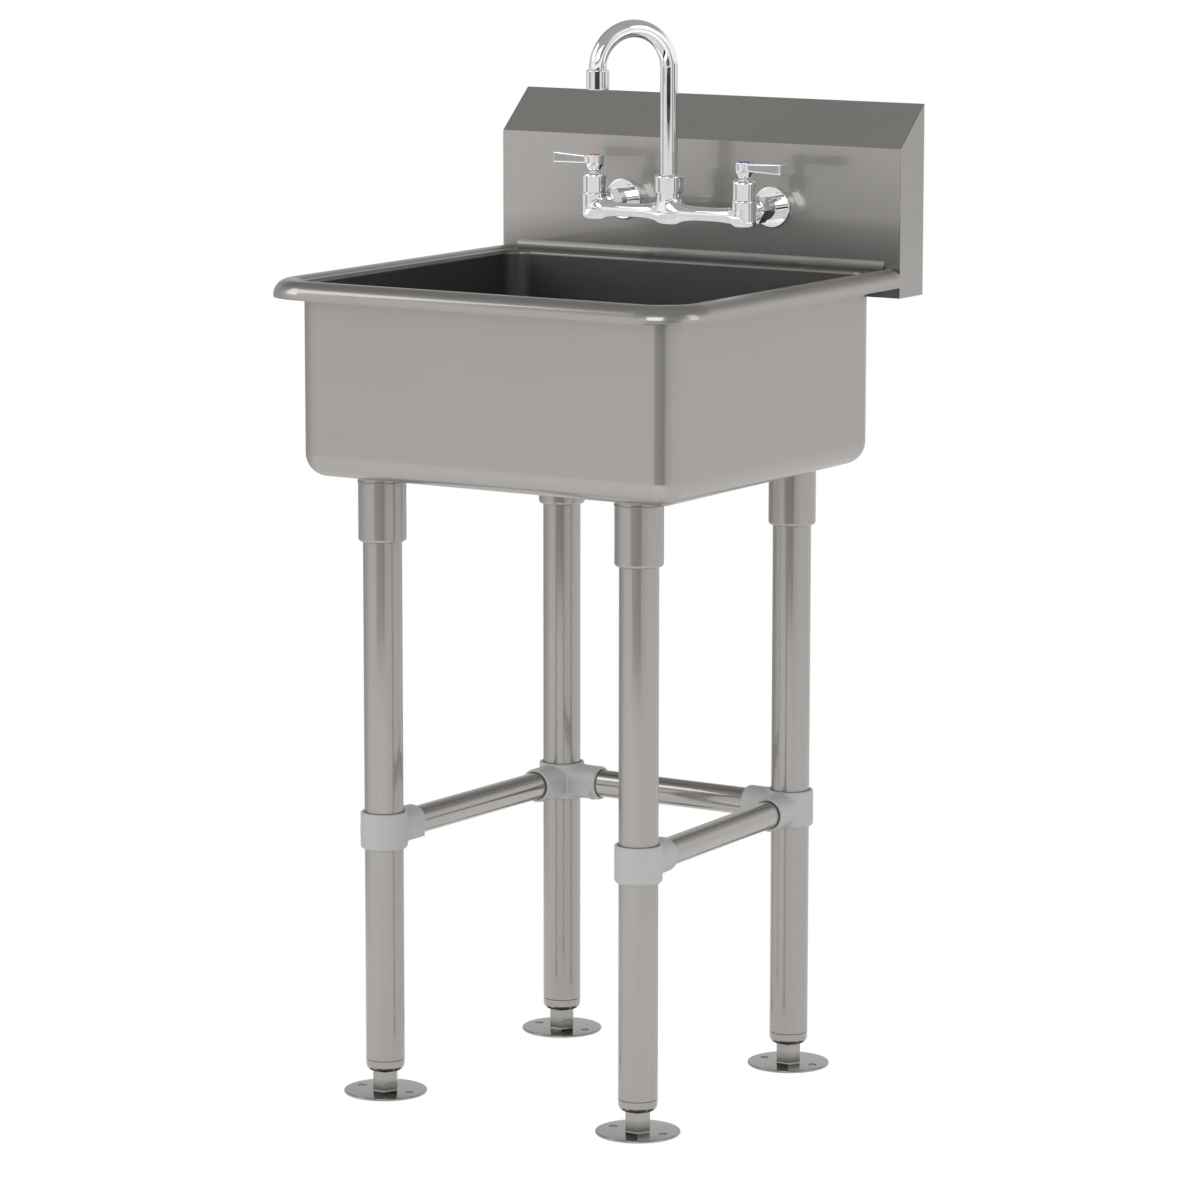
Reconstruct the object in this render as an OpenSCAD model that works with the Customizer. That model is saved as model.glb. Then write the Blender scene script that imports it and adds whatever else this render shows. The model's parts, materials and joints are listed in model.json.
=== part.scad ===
// Freestanding hand sink: a stainless bowl with a rolled rim and a tall splash on four braced legs,
// with a two-lever tap bolted through the splash. The origin is on the floor below the middle.

/* [Sheet metal] */
// Thickness of the stainless sheet of bowl, rim and splash
sheet_t = 1.5; // [1:0.1:2.5]

/* [Bowl] */
// Width of the bowl over its side walls
bowl_w = 459; // [420:1:600]
// Length of the bowl over its front and rear walls
bowl_l = 418; // [405:1:560]
// Depth of the bowl from the deck to the underside of its floor
bowl_depth = 205; // [150:1:260]
// Outside radius of the bowl's upright corners and of its bottom edge
bowl_bend_r = 25; // [15:1:32]
// Radius on the upper face where the bowl's wall turns out into the deck
bowl_lip_r = 4.5; // [3:0.5:4.5]

/* [Rolled rim] */
// Height of the deck above the floor
deck_z = 870; // [800:1:950]
// How far the rolled rim reaches out past the bowl's walls
rim_out = 32.5; // [32.5:0.5:45]
// Outside radius of the roll
roll_r = 17; // [12:0.5:17]
// Rise of the roll's crest above the deck
crest_rise = 3.3; // [2:0.1:3.5]
// Radius of the hollow between the deck and the crest
valley_r = 5; // [3:0.5:5]
// Straight lip below the roll's outer side
roll_lip = 1.5; // [0.5:0.5:8]

/* [Splash] */
// How far the splash reaches past the bowl's walls at each end
splash_over = 21.75; // [18:0.25:30]
// Width of the ledge between the bowl's rear wall and the splash's front face
rear_ledge = 14; // [14:1:60]
// Depth of the splash from its front face to its back
splash_d = 50.8; // [40:0.1:80]
// Height of the splash's upright front face above the deck
splash_h = 130; // [115:1:300]
// Rise of the sloping top of the splash
splash_slope = 45; // [20:1:80]
// Drop of the splash below the deck
splash_skirt = 29; // [15:1:60]
// Radius of the cove between the deck and the splash
cove_r = 10; // [5:0.5:10]
// Height of the flange turned down at the back of the splash
back_flange = 25; // [10:1:60]
// Depth of the flange turned in at the bottom of the splash
bottom_flange = 14; // [6:1:30]

/* [Legs] */
// Outside diameter of the leg tubes
leg_d = 41.275; // [38:0.1:45]
// Wall of the leg tubes
leg_wall = 1.5; // [1:0.1:3]
// Distance between the axes of the two front legs
front_legs = 317; // [260:1:330]
// Distance between the axes of the two rear legs
rear_legs = 293; // [260:1:330]
// Distance from the front legs' axes to the rear legs' axes
leg_run = 333; // [300:1:340]
// Distance from the bowl's front wall to the front legs' axes
leg_inset = 55.3; // [50:0.1:70]
// Outside diameter of the sockets that are welded under the bowl
socket_d = 50.8; // [50:0.1:54]
// Length of the sockets below the bowl's floor
socket_l = 69; // [40:1:90]
// Radius of the socket's rounded lower edge
socket_edge = 3.5; // [1:0.5:4]

/* [Rails and fittings] */
// Height of the rails' axes above the floor
rail_z = 286; // [150:1:450]
// Outside diameter of the rails
rail_d = 30; // [25:0.5:31]
// Wall of the rails
rail_wall = 1.5; // [1:0.1:3]
// Outside diameter of the fittings' collars on the legs
collar_d = 50; // [49:0.5:56]
// Height of the fittings' collars
collar_h = 40; // [39:1:60]
// Outside diameter of the fittings' branches
branch_d = 37; // [36:0.5:39]
// Reach of a branch from the leg's axis to its open end
branch_reach = 53; // [45:1:70]
// Height of the flat pad on the inner side of each branch
pad_h = 14; // [8:1:16]
// Distance from the leg's axis to the rail's end inside the branch
rail_stop = 30; // [27:1:34]

/* [Feet] */
// Diameter of the floor flange
flange_d = 88.9; // [80:0.1:110]
// Thickness of the floor flange
flange_t = 2.5; // [2:0.1:5]
// Distance between the two floor bolts
bolt_gap = 60.3; // [50:0.1:68]
// Diameter of the floor bolt holes
bolt_hole_d = 8.7; // [6:0.1:11]
// Width across the flats of the hexagon stem
stem_flats = 25.4; // [20:0.1:30]
// Height of the hexagon stem above the flange
stem_h = 21.5; // [15:0.5:40]
// Diameter of the adjusting screw
screw_d = 15.9; // [12:0.1:20]
// Length of the adjusting screw above the stem
screw_l = 60; // [45:1:70]
// Height of the rounded cap below the leg tube
cap_h = 13.5; // [9:0.5:20]
// Length of the plug inside the leg tube
plug_l = 34; // [15:1:40]

/* [Tap body] */
// Distance between the axes of the hot and cold inlets
inlet_gap = 188; // [150:1:210]
// Height of the inlets above the deck
inlet_z = 61; // [55:1:90]
// Distance from the splash's front face to the axes of valves and spout
stand_off = 60; // [58:1:75]
// Diameter of the valve housings at both ends of the body
housing_d = 27; // [26:0.5:30]
// Height of the valve housings
housing_h = 28; // [26:0.5:32]
// Diameter of the body's arms at their waist
arm_d = 15; // [13:0.5:17]
// Flare of the arms over their waist where they meet the valve housings, all round
arm_flare = 3; // [1:0.5:3.5]
// Flare of the arms over their waist where they meet the spout post, all round
post_flare = 4.5; // [1:0.5:5]
// Diameter of the spout post
post_d = 27; // [26:0.1:27.2]
// Height of the valve bonnets
bonnet_h = 22.5; // [20:0.5:26]

/* [Inlets] */
// Outside diameter of the inlet shanks
shank_d = 22; // [21.5:0.1:22.2]
// Outside diameter of the supply thread behind the lock nut
supply_d = 20.9; // [18:0.1:21]
// Length of the supply thread
supply_l = 27; // [15:1:29]
// Bore of the inlet shanks
shank_bore = 13; // [8:0.5:15]
// Reach of the shanks behind the splash's front face
shank_reach = 42; // [42:1:46]
// Width across the flats of the coupling nuts
coupling_flats = 28; // [27.5:0.5:32]
// Outside diameter of the chrome wall sleeves
sleeve_d = 27.5; // [24:0.5:29]
// Outside diameter of the wall flanges
wall_flange_d = 45; // [36:1:60]

/* [Spout] */
// Outside diameter of the spout tube
spout_d = 19.1; // [18:0.1:20]
// Wall of the spout tube
spout_wall = 1.6; // [1:0.1:2.5]
// Radius of the gooseneck on its centre line
neck_r = 42.5; // [35:0.5:80]
// Height of the gooseneck's springing above the deck
neck_z = 211; // [150:1:300]
// Turn of the spout away from straight out, towards the left, as it stands
spout_turn = 32; // [0:1:80]
// Outside diameter of the aerator
aerator_d = 24.6; // [23.6:0.1:27]
// Height of the aerator
aerator_h = 21.5; // [18:0.5:28]
// Outside diameter of the spout's swivel nut
spout_nut_d = 31.5; // [30.5:0.5:36]
// Height of the spout's swivel nut
spout_nut_h = 19; // [18.5:0.5:22]

/* [Levers] */
// Diameter of the lever's hub
hub_d = 20; // [18.5:0.5:24]
// Height of the lever's hub
hub_h = 17; // [14.5:0.5:20]
// Reach of the lever from the valve's axis to its tip
lever_l = 55; // [40:1:90]
// Width of the lever's blade at its tip
blade_w = 14; // [10:0.5:18]
// Height of the lever's blade at its tip
blade_t = 11.5; // [8.5:0.5:12.5]
// Height of the lever's blade at the hub
blade_root_t = 8; // [6:0.5:8.5]
// Rise of the blade towards its tip in degrees
blade_rise = 0.5; // [0:0.5:10]
// Turn of both shut levers, clockwise seen from above, away from straight out to the side
lever_turn = 10; // [0:1:20]
// Diameter of the coloured index button
index_d = 12.4; // [9:0.1:14]

/* [Drain] */
// Outside diameter of the drain's flange in the bowl
drain_flange_d = 78; // [74:1:95]
// Outside diameter of the drain's thread under the bowl
drain_neck_d = 54; // [50:0.5:58]
// Outside diameter of the drain's tail below its nut
drain_tail_d = 48.3; // [44:0.1:49]
// Bore of the drain's tail
drain_bore = 40; // [34:0.5:42]
// Length of the drain's tail below the bowl's floor
drain_tail_l = 27; // [22:1:60]
// Diameter of the lift-out strainer plate
strainer_d = 62; // [58:0.5:66]
// Diameter of the strainer's holes
strainer_hole_d = 4; // [2:0.5:5]

/* [Fits] */
// Gap all round between a leg tube and what slides over it
leg_fit = 0.25; // [0.1:0.05:0.5]
// Gap all round between a rail and its branch
rail_fit = 0.2; // [0.1:0.05:0.5]
// Gap all round between a turning or sliding shaft and its bore
run_fit = 0.08; // [0.02:0.01:0.1]
// Gap all round between threaded pieces that are screwed tight
thread_fit = 0.1; // [0.05:0.01:0.15]
// Gap between faces that lie on each other
face_fit = 0.1; // [0.05:0.05:0.2]

/* [Hidden] */
$fn = 96;

STEEL = [0.66, 0.65, 0.63];
STEEL_DARK = [0.52, 0.51, 0.50];
CASTING = [0.76, 0.77, 0.77];
CHROME = [0.83, 0.84, 0.86];
BRASS = [0.80, 0.66, 0.36];
RUBBER = [0.12, 0.12, 0.13];

// Plan of the sheet-metal top
total_l = rim_out + bowl_l + rear_ledge + splash_d;
bowl_front = -total_l / 2 + rim_out;
bowl_rear = bowl_front + bowl_l;
splash_y = bowl_rear + rear_ledge;
splash_w = bowl_w + 2 * splash_over;
lip_end = bowl_lip_r - sheet_t;
crest_out = rim_out - roll_r;
roll_z = deck_z + crest_rise - roll_r;
ramp = acos(1 - crest_rise / (roll_r + valley_r));
valley_out = crest_out - (roll_r + valley_r) * sin(ramp);
roll_end_y = splash_y - sqrt(pow(roll_r, 2) - pow(splash_over - crest_out, 2));
floor_z = deck_z - bowl_depth;
bowl_floor = floor_z + sheet_t;
corner_x = bowl_w / 2 - bowl_bend_r;
corner_front = bowl_front + bowl_bend_r;
corner_rear = bowl_rear - bowl_bend_r;
splash_top = deck_z + splash_h;
splash_bottom = deck_z - splash_skirt;

// Legs, rails and feet
leg_r = leg_d / 2;
stem_z = flange_t + stem_h;
leg_z = stem_z + cap_h;
leg_top = floor_z - 4;
front_y = bowl_front + leg_inset;
rear_y = front_y + leg_run;
front_x = front_legs / 2;
rear_x = rear_legs / 2;
rail_yaw = atan((front_x - rear_x) / leg_run);
side_run = sqrt(pow(front_x - rear_x, 2) + pow(leg_run, 2));
cap_edge = cap_h * 0.55;
grub_d = 6;
grub_l = 8;
grub_short = 4;
grub_turn = -50;
socket_grub_z = floor_z - socket_l * 0.6;
collar_grub_z = rail_z - 12;
collar_edge = 4;
branch_edge = 3;
root_flare = 4;
pad_rise = 0.6;
lead_in = 1;
plug_bore = screw_d + 2 * run_fit;

// Tap
tap_y = splash_y - stand_off;
tap_z = deck_z + inlet_z;
valve_x = inlet_gap / 2;
stub_d = 20;
housing_top = tap_z + stub_d / 2 + 1.5;
housing_z = housing_top - housing_h;
housing_edge = 8;
housing_lip = 0.8;
bridge_d = 8;
arm_r = arm_d / 2;
arm_z = housing_z + arm_r + 3.5;
bonnet_top = housing_top + bonnet_h;
stub_l = 22;
stub_collar = 1.2;
stub_collar_l = 3.5;
stub_y = tap_y + stub_l;
coupling_l = 17;
coupling_y = stub_y - 6;
coupling_web = 2.3;
shank_head_d = coupling_flats - 4.2;
shank_head_l = coupling_y + coupling_l - stub_y - 1;
cartridge_d = 17.6;
cartridge_z = housing_top - 18;
cartridge_l = 30;
stem_d = 9;
stem_bottom = cartridge_z + 12;
hub_z = bonnet_top + 1.5;
hub_top = hub_z + hub_h;
hub_foot_d = 14;
hub_taper = 6;
blade_drop = 1.5;
stem_top = hub_top - 4.5;
nut_z = tap_z + 16;
post_top = nut_z + 12;
nut_top = nut_z + spout_nut_h;
post_edge = 9;
post_bore = 14;
spout_r = spout_d / 2;
spout_foot = tap_z + 3;
shoulder_d = spout_d + 2.6;
shoulder_l = 3;
seal_r = 1.2;
flange_disc_t = 3;
springing_z = deck_z + neck_z;

// Drain
drain_y = (bowl_front + bowl_rear) / 2;
drain_rim_t = 3;
drain_neck_l = 14;
seat_t = 1.2;

// Section helpers

// Part of a ring between two angles
module arc_band(r_in, r_out, a0, a1) {
    far = 2 * r_out;
    mid = (a0 + a1) / 2;
    intersection() {
        difference() {
            circle(r_out);
            if (r_in > 0) circle(r_in);
        }
        polygon([[0, 0], far * [cos(a0), sin(a0)], far * [cos(mid), sin(mid)], far * [cos(a1), sin(a1)]]);
    }
}

// Half section of a ring whose outer edges are rounded at the bottom and at the top
module ring_section(r_in, r_out, h, edge_low = 0, edge_high = 0) {
    difference() {
        translate([r_in, 0]) square([r_out - r_in, h]);
        if (edge_low > 0) difference() {
            translate([r_out - edge_low, -1]) square([edge_low + 1, edge_low + 1]);
            translate([r_out - edge_low, edge_low]) circle(edge_low);
        }
        if (edge_high > 0) difference() {
            translate([r_out - edge_high, h - edge_high]) square([edge_high + 1, edge_high + 1]);
            translate([r_out - edge_high, h - edge_high]) circle(edge_high);
        }
    }
}

module ring(r_in, r_out, h, edge_low = 0, edge_high = 0) {
    rotate_extrude() ring_section(r_in, r_out, h, edge_low, edge_high);
}

module tube(d, wall, h) {
    difference() {
        cylinder(d = d, h = h);
        translate([0, 0, -1]) cylinder(d = d - 2 * wall, h = h + 2);
    }
}

module hexagon(flats, h) {
    cylinder(d = flats / cos(30), h = h, $fn = 6);
}

// Turns +Z to +Y, for pieces that lie front to back
module along_y() {
    rotate([-90, 0, 0]) children();
}

// Turns +Z to +X
module along_x() {
    rotate([0, 90, 0]) children();
}

// A wall section, given outward from the wall and upward, run along one side of the bowl
module side_run_of(y0, y1) {
    translate([bowl_w / 2, y1, 0]) rotate([90, 0, 0]) linear_extrude(y1 - y0) children();
}

module front_run_of() {
    translate([corner_x, bowl_front, 0]) rotate([0, 0, -90]) rotate([90, 0, 0])
        linear_extrude(2 * corner_x) children();
}

module rear_run_of() {
    translate([-corner_x, bowl_rear, 0]) rotate([0, 0, 90]) rotate([90, 0, 0])
        linear_extrude(2 * corner_x) children();
}

// The same section turned round one upright corner of the bowl
module corner_of(y, turn) {
    translate([corner_x, y, 0]) rotate([0, 0, turn])
        rotate_extrude(angle = 90) translate([bowl_bend_r, 0]) children();
}

module both_sides() {
    children();
    mirror([1, 0, 0]) children();
}

// Bowl

module bowl_section() {
    translate([-sheet_t, floor_z + bowl_bend_r])
        square([sheet_t, bowl_depth - bowl_bend_r - bowl_lip_r]);
    translate([-bowl_bend_r, floor_z + bowl_bend_r])
        arc_band(bowl_bend_r - sheet_t, bowl_bend_r, 270, 360);
    translate([lip_end, deck_z - bowl_lip_r])
        arc_band(bowl_lip_r - sheet_t, bowl_lip_r, 90, 180);
}

module bowl() color(STEEL) {
    front_run_of() bowl_section();
    rear_run_of() bowl_section();
    both_sides() {
        side_run_of(corner_front, corner_rear) bowl_section();
        corner_of(corner_front, -90) bowl_section();
        corner_of(corner_rear, 0) bowl_section();
    }
    difference() {
        translate([-corner_x, corner_front, floor_z])
            cube([2 * corner_x, corner_rear - corner_front, sheet_t]);
        translate([0, drain_y, floor_z - 1]) cylinder(d = drain_neck_d + 1, h = sheet_t + 2);
    }
}

// Rolled rim on the front and both sides

// Space below the deck and the inner half of the roll, drawn in by t from the upper face
module below_deck(t) {
    floor_z = roll_z - roll_r;
    difference() {
        polygon([
            [lip_end, floor_z], [lip_end, deck_z - t], [valley_out, deck_z - t],
            [valley_out, deck_z + valley_r], [crest_out, roll_z], [crest_out, floor_z]
        ]);
        translate([valley_out, deck_z + valley_r]) circle(valley_r + t);
    }
    intersection() {
        translate([crest_out, roll_z]) circle(roll_r - t);
        translate([lip_end, floor_z]) square([crest_out - lip_end, 2 * roll_r]);
    }
}

module rim_inner_section() intersection() {
    difference() {
        below_deck(0);
        below_deck(sheet_t);
    }
    polygon([
        [lip_end, deck_z + valley_r], [lip_end, deck_z - 2 * sheet_t],
        [valley_out, deck_z - 2 * sheet_t], [crest_out, roll_z], [crest_out, deck_z + 2 * valley_r]
    ]);
}

module rim_outer_section() {
    translate([crest_out, roll_z]) arc_band(roll_r - sheet_t, roll_r, 0, 90);
    translate([rim_out - sheet_t, roll_z - roll_lip]) square([sheet_t, roll_lip]);
}

module rim_section() {
    rim_inner_section();
    rim_outer_section();
}

// The roll closes like half a ball where it runs into the splash
module roll_end() {
    difference() {
        translate([bowl_w / 2 + crest_out, roll_end_y, 0])
            rotate_extrude(angle = 90) translate([-crest_out, 0]) rim_outer_section();
        translate([bowl_w / 2, splash_y, roll_z - 2 * roll_r]) cube([3 * roll_r, 3 * roll_r, 4 * roll_r]);
    }
}

module rolled_rim() color(STEEL) {
    front_run_of() rim_section();
    both_sides() {
        corner_of(corner_front, -90) rim_section();
        side_run_of(corner_front, splash_y) rim_inner_section();
        side_run_of(corner_front, roll_end_y) rim_outer_section();
        roll_end();
    }
}

// Splash

// Outline of the splash seen from its end, back from its front face and up
splash_outline = [
    [0, splash_bottom], [splash_d, splash_bottom],
    [splash_d, splash_top + splash_slope], [0, splash_top]
];

// Outer face of the splash's sheet, from its bottom flange over the front and the top to its back flange
splash_path = [
    [bottom_flange, splash_bottom], [0, splash_bottom], [0, splash_top],
    [splash_d, splash_top + splash_slope], [splash_d, splash_top + splash_slope - back_flange]
];

// Unit vector square to a run of sheet, on the right of its direction
function right_of(a, b) = [b[1] - a[1], a[0] - b[0]] / norm(b - a);

// Inner point of the sheet at one bend or end of its path
function inner_point(path, i, t) =
    let (last = len(path) - 1)
    let (before = right_of(path[max(i - 1, 0)], path[max(i, 1)]))
    let (after = right_of(path[min(i, last - 1)], path[min(i + 1, last)]))
    path[i] + t * (before + after) / (1 + before * after);

module bent_sheet(path, t)
    polygon(concat(path, [for (i = [len(path) - 1:-1:0]) inner_point(path, i, t)]));

module cove_section() {
    translate([-cove_r, deck_z + cove_r]) arc_band(cove_r, cove_r + sheet_t, 270, 360);
}

module splash_length(w) {
    translate([-w / 2, splash_y, 0]) rotate([90, 0, 90]) linear_extrude(w) children();
}

// Deck behind the bowl, cut round the bowl's two rear corners
module rear_deck() {
    edge = bowl_bend_r + lip_end;
    translate([0, 0, deck_z - sheet_t]) {
        translate([-corner_x - edge, bowl_rear + lip_end, 0])
            cube([2 * (corner_x + edge), rear_ledge - lip_end - cove_r, sheet_t]);
        both_sides() difference() {
            translate([corner_x, corner_rear, 0]) cube([edge, edge, sheet_t]);
            translate([corner_x, corner_rear, -1]) cylinder(r = edge, h = sheet_t + 2);
        }
    }
}

module splash() color(STEEL) {
    difference() {
        splash_length(splash_w - 2 * sheet_t) bent_sheet(splash_path, sheet_t);
        both_sides() translate([valve_x, splash_y - 1, tap_z])
            along_y() cylinder(d = shank_d + 1.6, h = sheet_t + 2);
    }
    splash_length(bowl_w + 2 * lip_end) cove_section();
    rear_deck();
}

module splash_cap() color(STEEL) {
    translate([splash_w / 2 - sheet_t, splash_y, 0]) rotate([90, 0, 90])
        linear_extrude(sheet_t) polygon(splash_outline);
}

module splash_cap_right() splash_cap();
module splash_cap_left() mirror([1, 0, 0]) splash_cap();

// Leg sockets and legs

// Space taken by the bowl's floor and bottom edges, as one run from side to side
module bowl_floor_space() {
    translate([-bowl_w, 0, 0]) rotate([90, 0, 90]) linear_extrude(2 * bowl_w) {
        translate([corner_front, floor_z]) square([corner_rear - corner_front, 3 * bowl_bend_r]);
        translate([corner_rear, floor_z + bowl_bend_r]) arc_band(0, bowl_bend_r, 270, 360);
        translate([corner_front, floor_z + bowl_bend_r]) arc_band(0, bowl_bend_r, 180, 270);
    }
}

module socket(x, y) color(STEEL) difference() {
    translate([x, y, floor_z - socket_l])
        ring(leg_r + leg_fit, socket_d / 2, socket_l + bowl_bend_r / 2, socket_edge);
    bowl_floor_space();
    translate([x, y, socket_grub_z]) along_y() cylinder(d = grub_d + 2 * thread_fit, h = socket_d);
}

module socket_front_left() socket(-front_x, front_y);
module socket_front_right() socket(front_x, front_y);
module socket_rear_left() socket(-rear_x, rear_y);
module socket_rear_right() socket(rear_x, rear_y);

module leg(x, y) color(STEEL)
    translate([x, y, leg_z]) tube(leg_d, leg_wall, leg_top - leg_z);

module leg_front_left() leg(-front_x, front_y);
module leg_front_right() leg(front_x, front_y);
module leg_rear_left() leg(-rear_x, rear_y);
module leg_rear_right() leg(rear_x, rear_y);

// A headless screw with a hexagon recess; it lies along +Z from its tip
module grub_screw(l = grub_l) difference() {
    cylinder(d = grub_d, h = l);
    translate([0, 0, l - grub_d * 0.4]) hexagon(grub_d / 2, grub_d);
}

// Each leg's set screw stands at the back of its socket
module socket_screws() color(STEEL_DARK) both_sides() {
    for (spot = [[front_x, front_y], [rear_x, rear_y]])
        translate([spot[0], spot[1], socket_grub_z]) along_y()
            translate([0, 0, leg_r + face_fit]) grub_screw();
}

// Feet

module foot_plug(x, y) color(STEEL) translate([x, y, stem_z]) {
    ring(plug_bore / 2, leg_r, cap_h, cap_edge, 0.4);
    translate([0, 0, cap_h]) ring(plug_bore / 2, leg_r - leg_wall - leg_fit, plug_l, 0, 1);
}

module foot_plug_front_left() foot_plug(-front_x, front_y);
module foot_plug_front_right() foot_plug(front_x, front_y);
module foot_plug_rear_left() foot_plug(-rear_x, rear_y);
module foot_plug_rear_right() foot_plug(rear_x, rear_y);

module foot(x, y) color(STEEL) translate([x, y, 0]) {
    difference() {
        ring(0, flange_d / 2, flange_t, 0, 0.8);
        for (side = [-1, 1])
            translate([side * bolt_gap / 2, 0, -1]) cylinder(d = bolt_hole_d, h = flange_t + 2);
    }
    translate([0, 0, flange_t]) hexagon(stem_flats, stem_h - face_fit);
    translate([0, 0, stem_z - face_fit]) ring(0, screw_d / 2, screw_l, 0, 1);
}

module foot_front_left() foot(-front_x, front_y);
module foot_front_right() foot(front_x, front_y);
module foot_rear_left() foot(-rear_x, rear_y);
module foot_rear_right() foot(rear_x, rear_y);

// Rails and their fittings

// One branch of a fitting; it lies along +Z from the leg's axis and its screw looks to +X
module branch() {
    ring(0, branch_d / 2, branch_reach, 0, branch_edge);
    cylinder(d1 = branch_d + root_flare, d2 = branch_d, h = collar_d / 2 + 2 * root_flare);
}

// Flat pads below the axis on one side of each branch, in one plan so that they end level
module pads(branches) {
    w = branch_d / 2 + pad_rise;
    translate([0, 0, pad_rise - pad_h]) linear_extrude(pad_h)
        for (b = branches) rotate(b[0]) translate([b[1] > 0 ? -w : 0, 0])
            square([w, branch_reach - 2 * branch_edge]);
}

// A bore with a chamfered mouth; it ends at the given height
module bore_to(r, l) {
    cylinder(r = r, h = l + lead_in);
    translate([0, 0, l - lead_in]) cylinder(r1 = r, r2 = r + 2 * lead_in, h = 2 * lead_in);
}

module branch_cuts() {
    translate([0, 0, rail_stop - 1]) bore_to(rail_d / 2 + rail_fit, branch_reach - rail_stop + 1);
    translate([0, 0, branch_reach - 2 * grub_d]) along_x()
        cylinder(d = grub_d + 2 * thread_fit, h = branch_d);
}

// Places a branch lying along +Y, turned about the leg; its screw looks down
module branch_place(yaw) {
    rotate([0, 0, yaw]) rotate([-90, 0, 0]) rotate([0, 0, 90]) children();
}

// Places what stands at the hidden side of a collar, along +Z from the leg's axis
module collar_screw_place() {
    translate([0, 0, collar_grub_z - rail_z]) rotate([-90, 0, grub_turn]) children();
}

// A cast collar with branches; each is given by its turn from straight back and the side of its pad
module fitting(branches) difference() {
    union() {
        translate([0, 0, -collar_h / 2]) ring(0, collar_d / 2, collar_h, collar_edge, 2);
        for (b = branches) branch_place(b[0]) branch();
        pads(branches);
    }
    translate([0, 0, -collar_h]) bore_to(leg_r + leg_fit, 1.5 * collar_h);
    for (b = branches) branch_place(b[0]) branch_cuts();
    collar_screw_place() cylinder(d = grub_d + 2 * thread_fit, h = collar_d);
}

tee_branches = [[rail_yaw, 1]];
corner_branches = [[180 + rail_yaw, -1], [90, 1]];

module tee_front_right() color(CASTING)
    translate([front_x, front_y, rail_z]) fitting(tee_branches);

module tee_front_left() color(CASTING)
    mirror([1, 0, 0]) translate([front_x, front_y, rail_z]) fitting(tee_branches);

module corner_rear_right() color(CASTING)
    translate([rear_x, rear_y, rail_z]) fitting(corner_branches);

module corner_rear_left() color(CASTING)
    mirror([1, 0, 0]) translate([rear_x, rear_y, rail_z]) fitting(corner_branches);

module rail_right() color(STEEL)
    translate([front_x, front_y, rail_z]) rotate([0, 0, rail_yaw]) along_y()
        translate([0, 0, rail_stop]) tube(rail_d, rail_wall, side_run - 2 * rail_stop);

module rail_left() mirror([1, 0, 0]) rail_right();

module rail_rear() color(STEEL)
    translate([-rear_x + rail_stop, rear_y, rail_z]) along_x()
        tube(rail_d, rail_wall, rear_legs - 2 * rail_stop);

// Set screws of one fitting: one against the leg, and one against each rail
module fitting_grubs(branches) {
    collar_screw_place() translate([0, 0, leg_r + face_fit]) grub_screw(grub_short);
    for (b = branches) branch_place(b[0]) translate([0, 0, branch_reach - 2 * grub_d]) along_x()
        translate([0, 0, rail_d / 2 + face_fit]) grub_screw(grub_short);
}

module fitting_screws() color(STEEL_DARK) both_sides() {
    translate([front_x, front_y, rail_z]) fitting_grubs(tee_branches);
    translate([rear_x, rear_y, rail_z]) fitting_grubs(corner_branches);
}

// Tap body: two valve housings and the spout post on one cast bridge

// Half section of an arm about its own axis, waisted in the middle
module arm_section(l, r_waist, r_near, r_far, steps = 16) {
    polygon(concat([[0, 0]], [
        for (i = [0:steps])
            let (r_end = i * 2 < steps ? r_near : r_far)
            [r_waist + (r_end - r_waist) * pow(cos(180 * i / steps), 4), l * i / steps]
    ], [[0, l]]));
}

module arm() {
    translate([0, tap_y, arm_z]) along_x() rotate_extrude()
        arm_section(valve_x, arm_r, arm_r + post_flare, arm_r + arm_flare);
}

module tap_body() color(CHROME) difference() {
    union() {
        both_sides() {
            arm();
            translate([valve_x, tap_y, housing_z])
                ring(0, housing_d / 2, housing_h, housing_edge, housing_lip);
            translate([valve_x, tap_y, tap_z]) along_y() {
                cylinder(d = stub_d, h = stub_l);
                translate([0, 0, stub_l - stub_collar_l])
                    cylinder(r = stub_d / 2 + stub_collar, h = stub_collar_l);
            }
        }
        translate([0, tap_y, housing_z]) ring(0, post_d / 2, post_top - housing_z, post_edge, 0.5);
    }
    both_sides() {
        translate([valve_x, tap_y, cartridge_z])
            cylinder(d = cartridge_d + 2 * thread_fit, h = 2 * housing_h);
        translate([valve_x, tap_y, tap_z]) along_y() cylinder(d = shank_bore, h = 2 * stub_l);
        translate([0, tap_y, arm_z]) along_x() cylinder(d = bridge_d, h = valve_x);
    }
    translate([0, tap_y, spout_foot - 1]) cylinder(d = spout_d + 2 * run_fit, h = 2 * housing_h);
    translate([0, tap_y, arm_z]) cylinder(d = post_bore, h = housing_h);
    translate([0, tap_y, post_top - shoulder_l - 2])
        cylinder(d = shoulder_d + 2 * run_fit, h = housing_h);
}

// Coupling nut that pulls the shank against the body's stub
module coupling_nut() color(CHROME)
    translate([valve_x, coupling_y, tap_z]) along_y() difference() {
        hexagon(coupling_flats, coupling_l);
        translate([0, 0, -1]) cylinder(d = stub_d + 0.4, h = coupling_l + 2);
        translate([0, 0, coupling_web]) cylinder(d = shank_head_d + 2 * thread_fit, h = coupling_l);
    }

module coupling_nut_right() coupling_nut();
module coupling_nut_left() mirror([1, 0, 0]) coupling_nut();

module shank() color(BRASS) {
    shank_l = splash_y + shank_reach - stub_y - face_fit;
    translate([valve_x, stub_y + face_fit, tap_z]) along_y() {
        ring(shank_bore / 2, shank_head_d / 2, shank_head_l, 0, 0.6);
        ring(shank_bore / 2, shank_d / 2, shank_l - supply_l);
        ring(shank_bore / 2, supply_d / 2, shank_l, 0, 1);
    }
}

module shank_right() shank();
module shank_left() mirror([1, 0, 0]) shank();

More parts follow.
